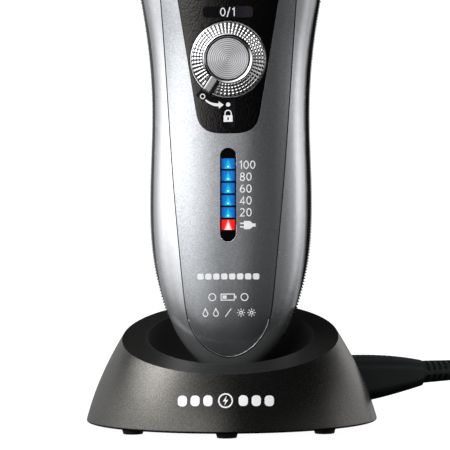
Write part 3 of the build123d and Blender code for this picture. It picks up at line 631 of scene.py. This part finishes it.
def leather_grid():
    """Points over the inlay's face, row by row; those just inside the ring's hole are moved to its edge."""
    tree = surface("leather_inlay")
    body = surface("leather_inlay", "front_housing")
    low, high = node_box("leather_inlay")
    top, bottom = high.z - 0.01, low.z + 0.03
    grid = np.zeros((LEATHER_ROWS + 1, LEATHER_COLUMNS + 1, 3))
    for i in range(LEATHER_ROWS + 1):
        row_z = bottom + (top - bottom) * (i / LEATHER_ROWS) ** 1.25
        half = inlay_half_width(tree, row_z) - 0.02
        for k in range(LEATHER_COLUMNS + 1):
            x, z = half * (2 * k / LEATHER_COLUMNS - 1), row_z
            away = Vector((x, z - DIAL.z))
            if RING_HOLE - 0.6 < away.length < RING_HOLE:
                away = away.normalized() * RING_HOLE
                x, z = away.x, DIAL.z + away.y
            hit = front_of(tree, x, z) or front_of(body, x, z) or Vector((x, -13.5, z))
            grid[i, k] = (x, hit.y, z)
    relief = GRAIN_HEIGHT * leather_relief(grid[..., 0], grid[..., 2], GRAIN_CELL)
    relief = relief + FOLD_HEIGHT * leather_relief(grid[..., 0] + 40, grid[..., 2] + 17, FOLD_CELL)
    from_side = np.minimum(np.arange(LEATHER_COLUMNS + 1), np.arange(LEATHER_COLUMNS, -1, -1))[None, :] / 6.0
    from_foot = np.arange(LEATHER_ROWS + 1)[:, None] / 5.0
    grid[..., 1] -= relief * np.clip(np.minimum(from_side, from_foot), 0, 1) - 0.02
    return grid


def leather_inlay():
    """The inlay's grained face and the wall round its edge."""
    grid = leather_grid()
    index = np.arange(grid.size // 3).reshape(grid.shape[:2])
    verts = grid.reshape(-1, 3).tolist()
    faces = []
    for i in range(LEATHER_ROWS):
        for k in range(LEATHER_COLUMNS):
            quad = (index[i, k], index[i, k + 1], index[i + 1, k + 1], index[i + 1, k])
            if min(math.hypot(verts[v][0], verts[v][2] - DIAL.z) for v in quad) > RING_HOLE - 0.01:
                faces.append([int(v) for v in quad])
    border = [*index[:, 0], *index[-1, 1:], *index[-2::-1, -1], *index[0, -2:0:-1]]
    border = [int(v) for v in border]
    start = len(verts)
    verts += [(verts[v][0], verts[v][1] + LEATHER_WALL, verts[v][2]) for v in border]
    for i in range(len(border)):
        j = (i + 1) % len(border)
        faces.append([border[i], border[j], start + j, start + i])
    piece = add_mesh("leather_grain", verts, faces, LEATHER, "handle", "inlay_black", smooth=True)
    work = bmesh.new()
    work.from_mesh(piece.data)
    bmesh.ops.delete(work, geom=[v for v in work.verts if not v.link_faces], context="VERTS")
    work.to_mesh(piece.data)
    work.free()
    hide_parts("leather_inlay")


# ---------------------------------------------------------------- printed marks


def ring_shape(x, z, outer, inner=0.0, start=0.0, sweep=360.0, steps=40):
    """A disc, ring or arc as (points, faces) in X and Z."""
    points = []
    for k in range(steps + 1):
        a = math.radians(start + sweep * k / steps)
        points += [(x + r * math.cos(a), z + r * math.sin(a)) for r in (outer, inner)]
    return points, [(2 * k, 2 * k + 2, 2 * k + 3, 2 * k + 1) for k in range(steps)]


def polygon(points):
    return list(points), [tuple(range(len(points)))]


def rounded(x, z, width, height, corner, steps=6):
    """A rectangle with rounded corners."""
    points = []
    for cx, cz, start in ((1, 1, 0), (-1, 1, 90), (-1, -1, 180), (1, -1, 270)):
        middle = (x + cx * (width / 2 - corner), z + cz * (height / 2 - corner))
        points += oval_points(*middle, corner, corner, start, 90, steps)
    return polygon(points)


def oval_points(x, z, wide, tall, start=0.0, sweep=360.0, steps=28):
    """Points along an oval or a part of one."""
    angles = [math.radians(start + sweep * k / steps) for k in range(steps + 1)]
    return [(x + wide * math.cos(a), z + tall * math.sin(a)) for a in angles]


def stroke(path, width, end_width=None):
    """A ribbon along a path of points, as (points, faces)."""
    end_width = width if end_width is None else end_width
    points, faces = [], []
    last = len(path) - 1
    closed = math.dist(path[0], path[-1]) < 1e-6
    for i, (x, z) in enumerate(path):
        before = path[i - 1] if i else (path[-2] if closed else path[0])
        after = path[i + 1] if i < last else (path[1] if closed else path[-1])
        into = Vector((x - before[0], z - before[1])).normalized()
        out = Vector((after[0] - x, after[1] - z)).normalized()
        along = (into + out).normalized()
        mitre = max(0.45, along.dot(out if out.length else into))
        reach = 0.5 * (width + (end_width - width) * i / last) / mitre
        points += [(x - along.y * reach, z + along.x * reach), (x + along.y * reach, z - along.x * reach)]
        if i:
            faces.append((2 * i - 2, 2 * i, 2 * i + 1, 2 * i - 1))
    return points, faces


DIGIT_LINES = {  # centre lines of plain upright digits, in a box 1.6 wide and 2.5 tall
    "0": [oval_points(0.8, 1.25, 0.65, 1.1)],
    "1": [[(0.3, 1.95), (0.85, 2.35), (0.85, 0.0)]],
    "2": [oval_points(0.72, 1.72, 0.58, 0.62, 150, -190, 14) + [(0.2, 0.15), (1.45, 0.15)]],
    "4": [[(1.6, 0.68), (0.15, 0.68), (1.15, 2.35), (1.15, 0.0)]],
    "6": [oval_points(0.82, 0.76, 0.62, 0.62), oval_points(1.3, 0.78, 1.1, 1.55, 178, -78, 10)],
    "8": [oval_points(0.8, 1.83, 0.5, 0.52), oval_points(0.8, 0.69, 0.62, 0.6)],
    "/": [[(0.1, -0.25), (0.95, 2.65)]],
}
DIGIT_ADVANCE = {"1": 1.45, "/": 1.35}  # the other digits take DIGIT_WIDTH
DIGIT_WIDTH = 1.95
DIGIT_STROKE = 0.30


def digits(word, x, z, size):
    """Flat digits (and a slash), with the middle of their left edge at x and z."""
    shapes = []
    for digit in word:
        for path in DIGIT_LINES[digit]:
            placed = [(x + px * size, z + (pz - 1.25) * size) for px, pz in path]
            shapes.append(stroke(placed, DIGIT_STROKE * size))
        x += DIGIT_ADVANCE.get(digit, DIGIT_WIDTH) * size
    return join(*shapes)


def print_mark(name, shape, tree, lift=0.04, depth=0.05, look=WHITE_PRINT, slot="print_white", body="handle"):
    """Lays a flat shape on the front of a surface as a thin raised film."""
    cell = 0.8  # the film is cut into cells, so that it bends with the surface
    points, faces = shape
    flat = bmesh.new()
    made = [flat.verts.new((px, 0.0, pz)) for px, pz in points]
    for face in faces:
        if len(set(face)) > 2:
            flat.faces.new([made[i] for i in face])
    bmesh.ops.remove_doubles(flat, verts=flat.verts, dist=1e-4)
    bmesh.ops.triangulate(flat, faces=[f for f in flat.faces if len(f.verts) > 4])
    for axis in (0, 2):
        values = [v.co[axis] for v in flat.verts]
        for k in range(math.floor(min(values) / cell) + 1, math.ceil(max(values) / cell)):
            place, normal = Vector((0, 0, 0)), Vector((0, 0, 0))
            place[axis], normal[axis] = k * cell, 1.0
            geometry = [*flat.verts, *flat.edges, *flat.faces]
            bmesh.ops.bisect_plane(flat, geom=geometry, dist=1e-5, plane_co=place, plane_no=normal)
    top = list(flat.faces)
    bmesh.ops.recalc_face_normals(flat, faces=top)
    if sum(f.normal.y for f in top) > 0:
        bmesh.ops.reverse_faces(flat, faces=top)
    for vert in flat.verts:
        vert.co.y = (front_of(tree, vert.co.x, vert.co.z) or Vector((0, -13.0, 0))).y - lift
    sides = bmesh.ops.extrude_face_region(flat, geom=top, use_keep_orig=True)
    for item in sides["geom"]:
        if isinstance(item, bmesh.types.BMVert):
            item.co.y -= depth
    bmesh.ops.recalc_face_normals(flat, faces=list(flat.faces))
    bmesh.ops.transform(flat, matrix=TO_ROW, verts=flat.verts)
    new_piece(name, into_mesh(flat, name), look.material, body)


def plug_icon(x, z):
    """A plug lying on its side: two prongs, a body with sloped shoulders, and its cord."""
    prongs = [rounded(x + 0.65, z + side * 0.55, 1.3, 0.4, 0.1) for side in (-1, 1)]
    half = [(1.2, 1.3), (3.1, 1.3), (4.0, 0.5), (4.9, 0.5)]
    edge = [(x + px, z + pz) for px, pz in half] + [(x + px, z - pz) for px, pz in reversed(half)]
    return join(*prongs, polygon(edge))


def padlock_icon(x, z):
    """A closed padlock with a keyhole, about 4 mm tall, centred at x and z."""
    shackle = ring_shape(x, z + 0.65, 1.15, 0.80, 0, 180, 20)
    legs = [stroke([(x + side * 0.975, z - 0.1), (x + side * 0.975, z + 0.7)], 0.35) for side in (-1, 1)]
    half, wall = 1.42, 0.22
    low, hole_low, hole_high, high = z - 2.05, z - 1.5, z - 0.55, z
    boxes = [(-half, -wall, low, high), (wall, half, low, high)]
    boxes += [(-wall, wall, low, hole_low), (-wall, wall, hole_high, high)]
    case = [polygon([(x + a, c), (x + b, c), (x + b, d), (x + a, d)]) for a, b, c, d in boxes]
    return join(shackle, *legs, *case)


def arrow_icon(start, bend, tip, widths, head):
    """A thick arrow that curves from start by way of bend to its tip."""
    path = []
    for k in range(13):
        t = 0.8 * k / 12
        weights = ((1 - t) ** 2, 2 * t * (1 - t), t * t)
        path.append(tuple(sum(w * p[i] for w, p in zip(weights, (start, bend, tip))) for i in (0, 1)))
    along = Vector((tip[0] - path[-1][0], tip[1] - path[-1][1])).normalized()
    side = Vector((-along.y, along.x)) * head
    base = Vector(path[-1]) - along * 0.15
    return join(stroke(path, *widths), polygon([tuple(base + side), tuple(tip), tuple(base - side)]))


def drop_outline(x, z, size):
    """The edge of a water drop: a round bottom drawn up to a point, as a closed path."""
    radius = 0.62 * size
    tip = (x, z + 1.1 * size)
    return [tip, *oval_points(x, z - 0.2 * size, radius, radius, 35, -250, 16), tip]


def sun_icon(x, z):
    rays = []
    for k in range(8):
        c, s = math.cos(math.pi * k / 4), math.sin(math.pi * k / 4)
        rays.append(stroke([(x + 0.85 * c, z + 0.85 * s), (x + 1.3 * c, z + 1.3 * s)], 0.24))
    return join(ring_shape(x, z, 0.6, 0.3, steps=20), *rays)


DIGIT_PITCH = 3.77
LENS_HALF = 3.25 / 2
BARS_Z, ICONS_Z, WET_DRY_Z = 29.4, 22.9, 18.0
LINE = 0.32
THIN_FILM = (0.04, 0.03)


def display_marks(panel):
    """The charge scale beside the display, and the plug sign under it."""
    lowest = node_box("charge_lenses")[0].z + LENS_HALF
    for k, word in enumerate(("20", "40", "60", "80", "100")):
        left = 3.35 if word == "100" else 3.7
        print_mark(f"digits_{word}", digits(word, left, lowest + DIGIT_PITCH * k, 1.06), panel)
    print_mark("plug_icon", plug_icon(3.8, lowest - 4.05), panel)


def dial_marks(panel):
    """The switch sign above the dial, and the way to the lock below it, each on a black patch."""
    sign_z = DIAL.z + 15.0
    black = {"look": PLATE_BLACK, "slot": "display_black"}
    print_mark("label_plate", rounded(0, sign_z, 15.8, 3.5, 1.0), panel, 0.02, 0.22, **black)
    print_mark("label_digits", digits("0/1", -2.5, sign_z, 1.08), panel, 0.25, 0.03)
    patch = join(ring_shape(0, DIAL.z, 15.4, 12.1, 228, 50, 24), rounded(0, DIAL.z - 18.3, 4.2, 6.8, 0.8))
    print_mark("lock_patch", patch, panel, 0.02, 0.13, **black)
    radius, spot = 14.3, math.radians(270 - 34.5)
    marks = join(
        ring_shape(radius * math.cos(spot), DIAL.z + radius * math.sin(spot), 0.86, 0.55),
        arrow_icon((-7.2, DIAL.z - 12.9), (-5.2, DIAL.z - 14.9), (-1.4, DIAL.z - 14.5), (0.5, 1.0), 1.2),
        ring_shape(0, DIAL.z - 14.45, 0.68),
        padlock_icon(0, DIAL.z - 17.9),
    )
    print_mark("lock_marks", marks, panel, 0.16, 0.03)


def foot_marks(panel):
    """Plain signs near the panel's foot: eight bars, a battery between rings, and drops and suns."""
    bars = [rounded(-8.8 + 2.515 * k, BARS_Z, 2.0, 1.9, 0.55) for k in range(8)]
    print_mark("panel_bars", join(*bars), panel)
    low, high = ICONS_Z - 0.95, ICONS_Z + 0.95
    icons = join(
        ring_shape(-5.1, ICONS_Z, 1.25, 0.95),
        stroke([(-2.3, low), (1.9, low), (1.9, high), (-2.3, high), (-2.3, low)], 0.3),
        rounded(2.35, ICONS_Z, 0.4, 0.9, 0.1),
        rounded(-1.2, ICONS_Z, 1.3, 1.1, 0.1),
        ring_shape(5.1, ICONS_Z, 1.25, 0.95),
    )
    print_mark("panel_icons", icons, panel, *THIN_FILM)
    drops = [stroke(drop_outline(x, WET_DRY_Z - 0.1, 1.25), LINE) for x in (-7.3, -4.0)]
    slash = stroke([(-1.0, WET_DRY_Z - 1.3), (0.9, WET_DRY_Z + 1.3)], LINE)
    suns = [sun_icon(x, WET_DRY_Z) for x in (4.0, 7.3)]
    print_mark("panel_wet_dry", join(*drops, slash, *suns), panel, *THIN_FILM)


def front_marks():
    panel = surface("front_panel", "leather_inlay")
    display_marks(panel)
    dial_marks(panel)
    foot_marks(panel)


def stand_mark():
    """A ring with a bolt between two rows of capsules, on the front of the stand."""
    low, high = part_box("stand_shell")
    height = low.z + 0.30 * (high.z - low.z)
    z = (TO_LOCAL @ Vector(((low.x + high.x) / 2, low.y, height))).z
    half = [(0.35, 1.55), (-0.85, -0.25), (-0.05, -0.25)]
    bolt = polygon([(px, z + pz) for px, pz in half] + [(-px, z - pz) for px, pz in half])
    capsules = [rounded(side * (5.55 + 4.05 * k), z, 2.9, 3.4, 1.2) for side in (-1, 1) for k in range(3)]
    mark = join(ring_shape(0, z, 2.35, 1.9), bolt, *capsules)
    print_mark("stand_mark", mark, surface("stand_shell"), 0.03, 0.05, body="stand")


# ---------------------------------------------------------------- seams, beads and grips


def tube(name, path, radius, look, slot, sides=8):
    """A round bead on the handle, along a path of points in the shaver's frame."""
    verts, faces = [], []
    last = len(path) - 1
    points = [Vector(p) for p in path]
    for i, point in enumerate(points):
        along = (points[min(i + 1, last)] - points[max(i - 1, 0)]).normalized()
        side = along.cross(Vector((0, 1, 0))).normalized()
        up = side.cross(along)
        for k in range(sides):
            turn = 2 * math.pi * k / sides
            verts.append(point + radius * (side * math.cos(turn) + up * math.sin(turn)))
    for i in range(last):
        a, b = i * sides, (i + 1) * sides
        faces += [(a + k, a + (k + 1) % sides, b + (k + 1) % sides, b + k) for k in range(sides)]
    faces += [tuple(range(sides))[::-1], tuple(last * sides + k for k in range(sides))]
    add_mesh(name, verts, faces, look, "handle", slot, smooth=True)


def outline(tree, z_top, z_bottom, inset, spacing, inside=None):
    """A front node's right-hand edge downwards, then its left-hand one upwards, as points on its surface.

    inside(z) is a distance to the right that is on the surface for certain.
    """
    rows = int((z_top - z_bottom) / spacing)
    right = []
    for k in range(rows + 1):
        z = z_top + (z_bottom - z_top) * math.sin(math.pi / 2 * k / rows)
        x = max(0.0, reach_of(tree, z, inside(z) if inside else 0.0, 30.0, 16) - inset)
        hit = front_of(tree, x, z)
        if hit:
            right.append((x, hit.y, z))
    return right + [(-x, y, z) for x, y, z in reversed(right)]


PANEL_GAP = 0.28
GROOVE_SHADOW_RADIUS = 0.19
BEAD_TOP = 16.0  # the panel's edge gets a bright bead, a painted highlight, below this height
TONGUE_MIDDLE = 30.0
WINDOW_FOOT = [-math.pi * 0.8 * k / 12 for k in range(13)]


def tongue_inside(z):
    """Half a width that lies within the panel's tongue at height z, past the inlay and the display."""
    for height, half_width in ((84, 18.5), (72, 11.0), (38, 3.0)):
        if z > height:
            return half_width
    return 0.0


def panel_beads():
    """Bright beads on the edges of the panel's tip and of the window, a painted highlight of their bevels,
    and a dark tube round the panel, a painted shadow in its groove.
    """
    tree = surface("front_panel")
    low, high = node_box("front_panel")
    foot = low.z + 0.02
    # painted highlight: a thin bright bead along the edge of the panel's tip
    tube("panel_edge_highlight", outline(tree, BEAD_TOP, foot, 0.08, 0.5), 0.08, EDGE_HIGHLIGHT_METAL, "panel_silver")

    front = surface("front_panel", "display_bezel")
    window_low, window_high = node_box("display_bezel")
    half = (window_high.x - window_low.x) / 2 + 0.17
    middle = (window_high.x + window_low.x) / 2
    rim = [(middle + half * math.cos(a), window_low.z + 2.45 + half * math.sin(a)) for a in WINDOW_FOOT]
    rim = [(middle + half, window_high.z - 2.0)] + rim
    tube("window_edge_highlight", [(x, front_of(front, x, z).y, z) for x, z in rim], 0.07, EDGE_HIGHLIGHT_METAL, "panel_silver")

    # painted shadow: a black tube laid in the groove round the panel, where there is only the groove's shade
    line = []
    for x, y, z in outline(tree, high.z - 0.1, foot, 0.03, 0.9, tongue_inside):
        out = Vector((x, 0, z - TONGUE_MIDDLE if z < 20 else 0)).normalized() * (PANEL_GAP / 2 + 0.03)
        line.append((x + out.x, y + 0.15, z + out.z))
    tube("panel_groove_shadow", line, GROOVE_SHADOW_RADIUS, GROOVE_SHADOW_BLACK, "seal_rubber")


GRIP_PITCH = 0.97
GRIP_ROW_PITCH = GRIP_PITCH * 0.95
GRIP_ROW_RISE = 0.075  # the rows climb this much for each millimetre towards the back
GRIP_POINT = ((0.37, -0.05), (0.12, 0.55))  # half width and height of a point's foot and of its top
GRIP_ROOM = 0.45


def side_of(tree, side, y, z):
    """The outermost point of a surface on one side, and its normal."""
    return tree.ray_cast(Vector((side * 60, y, z)), Vector((-side, 0, 0)))[:2]


def on_grip(tree, side, y, z):
    """Whether a raised point has room here: the surface goes on, without a step, all round it."""
    hit = side_of(tree, side, y, z)[0]
    if not hit or abs(hit.x) <= 15:
        return False
    for dy, dz in ((-1, 0), (1, 0), (0, -1), (0, 1)):
        near = side_of(tree, side, y + dy * GRIP_ROOM, z + dz * GRIP_ROOM)[0]
        if not near or abs(near.x - hit.x) >= 0.5:
            return False
    return True


def grip_point(tree, side, y, z):
    """One raised point: a square pyramid with a flat top."""
    hit, normal = side_of(tree, side, y, z)
    normal = normal if normal.x * side > 0 else -normal
    along = (Vector((0, 0, 1)) - normal * normal.z).normalized()
    across = normal.cross(along)
    verts = []
    for half, height in GRIP_POINT:
        for a, b in ((1, 0), (0, 1), (-1, 0), (0, -1)):
            verts.append(hit + along * a * half + across * b * half + normal * height)
    faces = [(k, (k + 1) % 4, 4 + (k + 1) % 4, 4 + k) for k in range(4)]
    return verts, faces + [(4, 5, 6, 7), (3, 2, 1, 0)]


def grip_knurls():
    """Rows of small raised points over both side grips."""
    tree = surface("side_grips")
    low, high = node_box("side_grips")
    points = []
    for side in (-1, 1):
        row, row_z = 0, low.z + 0.9
        while row_z < high.z - 0.9:
            y = low.y + 0.7 + (GRIP_PITCH / 2 if row % 2 else 0)
            while y < high.y - 0.5:
                z = row_z + (y - low.y) * GRIP_ROW_RISE
                if on_grip(tree, side, y, z):
                    points.append(grip_point(tree, side, y, z))
                y += GRIP_PITCH
            row_z += GRIP_ROW_PITCH
            row += 1
    weld(add_mesh("grip_points", *join(*points), GRIP_RUBBER, "handle", "grip_rubber"))


# ---------------------------------------------------------------- foils and neck bellows

CROWN_RADIUS = 250.0  # the foils' tops are slightly crowned from left to right
FOIL_TOP = 161.49
FOIL_RADIUS = 4.55
FOIL_HALF_SPAN = 25.2
FOIL_BOTTOM = 151.5
FOIL_Y = 9.2
FOIL_THICKNESS = 0.12
FOIL_WALL = FOIL_TOP - FOIL_RADIUS - FOIL_BOTTOM
FOIL_ARC = math.pi * FOIL_RADIUS
FOIL_ROWS, FOIL_COLUMNS = 20, 64
FOIL_HOLE = (0.29, 0.26)  # radius of a hole along the foil and around it


def foil_point(y, along, around):
    """A point of the arched foil: along its length, and around from the front foot (0) to the rear one."""
    if around < FOIL_WALL:
        place = (y - FOIL_RADIUS, FOIL_BOTTOM + around)
    elif around > FOIL_WALL + FOIL_ARC:
        place = (y + FOIL_RADIUS, FOIL_BOTTOM + 2 * FOIL_WALL + FOIL_ARC - around)
    else:
        turn = (around - FOIL_WALL) / FOIL_RADIUS
        place = (y - FOIL_RADIUS * math.cos(turn), FOIL_TOP - FOIL_RADIUS + FOIL_RADIUS * math.sin(turn))
    centre = FOIL_TOP - CROWN_RADIUS
    lean = along / CROWN_RADIUS
    reach = place[1] - centre
    return Vector((reach * math.sin(lean), place[0], centre + reach * math.cos(lean)))


def perforated_foil(name, node, body, y):
    """A thin arched sheet with staggered six-sided holes over its arch, and a plain plate at each end."""
    rows, columns = FOIL_ROWS, FOIL_COLUMNS
    half_cell, deep = FOIL_HALF_SPAN / columns, FOIL_ARC / rows
    levels = [0.0, FOIL_WALL * 0.5] + [FOIL_WALL + deep * k for k in range(rows + 1)]
    levels += [1.5 * FOIL_WALL + FOIL_ARC, 2 * FOIL_WALL + FOIL_ARC]
    verts, faces = [], []
    width = 2 * columns + 1
    for level in levels:
        verts += [foil_point(y, half_cell * (i - columns), level) for i in range(width)]

    def at(row, i):
        return row * width + i

    def plain(row, i):
        return at(row, i), at(row, i + 1), at(row + 1, i + 1), at(row + 1, i)

    for row in (0, 1, rows + 2, rows + 3):
        faces += [plain(row, i) for i in range(2 * columns)]
    for row in range(2, rows + 2):
        shift = row % 2
        if shift:
            faces += [plain(row, 0), plain(row, 2 * columns - 1)]
        for i in range(shift, 2 * columns - 1, 2):
            frame_points = [at(row, i), at(row, i + 1), at(row, i + 2)]
            frame_points += [at(row + 1, i + 2), at(row + 1, i + 1), at(row + 1, i)]
            start = len(verts)
            for k in range(6):
                turn = math.radians(210 + 60 * k)
                along = half_cell * (i + 1 - columns) + FOIL_HOLE[0] * math.cos(turn)
                verts.append(foil_point(y, along, levels[row] + deep / 2 + FOIL_HOLE[1] * math.sin(turn)))
            for k in range(6):
                j = (k + 1) % 6
                faces.append((frame_points[k], frame_points[j], start + j, start + k))
    faces.append(tuple(at(row, 0) for row in range(len(levels))))
    faces.append(tuple(at(row, 2 * columns) for row in reversed(range(len(levels)))))
    foil = add_mesh(name, verts, faces, FOIL_METAL)
    weld(foil)
    sheet = foil.modifiers.new("sheet", "SOLIDIFY")
    sheet.thickness = FOIL_THICKNESS * MM
    sheet.offset = -1.0
    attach(foil, body)
    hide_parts(node)


def folded_bellows():
    """The soft sleeve in the neck: three shallow folds around a rounded oblong, open inside."""
    low, high, folds, steps, corner = 124.05, 128.1, 3, 30, 10
    half_width, half_depth, rounding = 18, 7.2, 6.0
    layers = []
    for k in range(steps + 1):
        share = k / steps
        grow = 1.15 * (0.5 - 0.5 * math.cos(2 * math.pi * folds * share)) ** 0.7
        layers.append((low + (high - low) * share, grow))
    wall = [(z, grow) for z, grow in layers] + [(z, grow * 0.9 - 1.0) for z, grow in reversed(layers)]
    verts, faces = [], []
    for z, grow in wall:
        size = (2 * (half_width + grow), 2 * (half_depth + grow))
        ring = rounded(0, 0, *size, rounding + min(0.0, grow), corner)[0]
        verts += [(x, y, z) for x, y in ring]
    around = 4 * (corner + 1)
    for layer in range(len(wall)):
        a, b = layer * around, (layer + 1) % len(wall) * around
        faces += [(a + k, a + (k + 1) % around, b + (k + 1) % around, b + k) for k in range(around)]
    sleeve = add_mesh("bellows_folds", verts, faces, BELLOWS_RUBBER, smooth=True)
    weld(sleeve)
    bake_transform(sleeve)
    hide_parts("neck_bellows")


def build_pieces():
    folded_bellows()
    perforated_foil("foil_mesh_front", "foil_front", "float_foil_front", -FOIL_Y)
    perforated_foil("foil_mesh_rear", "foil_rear", "float_foil_rear", FOIL_Y)
    knurled_ring()
    pointer_tab()
    turned_button()
    leather_inlay()
    front_marks()
    stand_mark()
    panel_beads()
    grip_knurls()


build_pieces()


# ---------------------------------------------------------------- floor, light and camera


def floor_material():
    """Pale paper that takes a soft contact shadow, brighter away from the stand."""
    material = bpy.data.materials.new("floor_pale")
    material.use_nodes = True
    nodes = Nodes(material.node_tree)
    nodes.tree.nodes.clear()
    place = nodes.add("ShaderNodeTexCoord").outputs["Object"]
    reach = nodes.vector("LENGTH", place, output="Value")
    glow = nodes.add("ShaderNodeEmission", {"Strength": nodes.span(reach, 0.12, 0.6, 0.98, 1.05)})
    paper = nodes.add("ShaderNodeBsdfDiffuse", {"Color": (0.20, 0.20, 0.20, 1)})
    both = nodes.add("ShaderNodeAddShader", {0: glow.outputs[0], 1: paper.outputs[0]})
    nodes.add("ShaderNodeOutputMaterial", {"Surface": both.outputs[0]})
    return material


# The studio's light in four belts. Each has its radiance against azimuth (from the face towards +X)
# and the share of it that is there at each elevation, in degrees.
BELTS = (
    (
        ((-180, 0.0), (-100, 0.0), (-84, 1.9), (-70, 3.1), (-40, 3.1), (-24, 3.0), (-10, 2.0), (-3, 0.45),
         (3, 0.0), (180, 0.0)),
        ((-90, 0.0), (-32, 0.002), (-24, 0.004), (-15, 0.02), (-6, 0.23), (0, 0.34), (6, 0.48), (12, 0.86),
         (18, 1.0), (24, 0.8), (30, 0.0), (90, 0.0)),
    ),
    (
        ((-180, 0.4), (-150, 0.6), (-120, 0.95), (-100, 1.6), (-84, 1.0), (-72, 0.0), (-3, 0.0), (3, 0.05),
         (20, 0.08), (45, 0.22), (72, 0.50), (98, 1.5), (140, 1.2), (180, 0.4)),
        ((-90, 0.0), (-30, 0.005), (-24, 0.012), (-16, 0.08), (-8, 0.42), (4, 0.82), (10, 1.0), (16, 1.0),
         (26, 0.0), (90, 0.0)),
    ),
    (
        ((-180, 0.01), (-136, 0.01), (-118, 0.08), (-94, 5.4), (-68, 9.5), (-57, 6.6), (-44, 2.0), (-26, 0.4),
         (0, 0.02), (92, 0.01), (112, 0.10), (130, 0.40), (155, 0.10), (180, 0.01)),
        ((-90, 0.0), (20, 0.0), (32, 1.0), (52, 1.0), (62, 0.0), (90, 0.0)),
    ),
    (
        ((-180, 0.10), (-110, 0.3), (-70, 2.0), (10, 1.6), (60, 0.15), (180, 0.10)),
        ((-90, 0.0), (54, 0.0), (64, 1.0), (80, 0.6), (90, 0.3)),
    ),
)


def ramp(nodes, value, stops):
    """A smooth curve over value through (position, level) stops: its output, and what to scale it by."""
    low, high = stops[0][0], stops[-1][0]
    peak = max(level for _, level in stops)
    node = nodes.add("ShaderNodeValToRGB", {"Fac": nodes.span(value, low, high)})
    node.color_ramp.interpolation = "EASE"
    elements = node.color_ramp.elements
    made = [elements.new((position - low) / (high - low)) for position, _ in stops[1:-1]]
    for element, (_, level) in zip([elements[0], *made, elements[len(stops) - 1]], stops):
        element.color = (level / peak, level / peak, level / peak, 1)
    return node.outputs["Color"], peak


def studio_world():
    """A plain white backdrop to the camera, and soft boxes in four belts round the object as its light."""
    world = bpy.data.worlds.new("studio")
    bpy.context.scene.world = world
    world.use_nodes = True
    nodes = Nodes(world.node_tree)
    x, y, z = nodes.split(nodes.add("ShaderNodeTexCoord").outputs["Generated"])
    turn = nodes.math("ARCTAN2", x, nodes.math("MULTIPLY", y, -1.0))
    azimuth = nodes.math("MULTIPLY", turn, 180 / math.pi)
    elevation = nodes.math("MULTIPLY", nodes.math("ARCSINE", z), 180 / math.pi)
    glow = 0.0
    for around_stops, height_stops in BELTS:
        around, peak = ramp(nodes, azimuth, around_stops)
        height, _ = ramp(nodes, elevation, height_stops)
        glow = nodes.math("MULTIPLY_ADD", nodes.math("MULTIPLY", around, height), peak, glow)
    seen = nodes.add("ShaderNodeLightPath").outputs["Is Camera Ray"]
    level = nodes.add("ShaderNodeMix", {0: seen, 2: glow, 3: 1.0}).outputs[0]
    backdrop = nodes.tree.nodes["Background"]
    backdrop.inputs["Color"].default_value = (1, 1, 1, 1)
    nodes.put(level, backdrop.inputs["Strength"])


def pale_floor():
    """A floor that the camera sees, and that the object doesn't mirror."""
    half = 6.0
    floor_mesh = bpy.data.meshes.new("floor")
    corners = [(-half, -half, 0), (half, -half, 0), (half, half, 0), (-half, half, 0)]
    floor_mesh.from_pydata(corners, [], [(0, 1, 2, 3)])
    floor_mesh.materials.append(floor_material())
    floor = bpy.data.objects.new("floor", floor_mesh)
    bpy.context.scene.collection.objects.link(floor)
    floor.visible_diffuse = False
    floor.visible_glossy = False


def front_camera():
    """A long lens from the front and slightly above, with the neck at the top of the frame."""
    camera_data = bpy.data.cameras.new("camera")
    camera = bpy.data.objects.new("camera", camera_data)
    bpy.context.scene.collection.objects.link(camera)
    distance, width, roll = 2.2, 0.1431, math.radians(-0.5)
    azimuth, elevation = math.radians(3.0), math.radians(4.8)
    flat = math.cos(elevation)
    away = Vector((math.sin(azimuth) * flat, -math.cos(azimuth) * flat, math.sin(elevation)))
    aim = Vector((-0.0016, 0.0305, 0.0645))
    turn = (-away).to_track_quat("-Z", "Y").to_matrix().to_4x4() @ Matrix.Rotation(roll, 4, "Z")
    camera.matrix_world = Matrix.Translation(aim + distance * away) @ turn
    camera_data.sensor_width = 36
    camera_data.lens = camera_data.sensor_width * distance / width
    camera_data.clip_end = 50
    bpy.context.scene.camera = camera


bpy.context.scene.view_settings.view_transform = "Standard"
pale_floor()
studio_world()
front_camera()
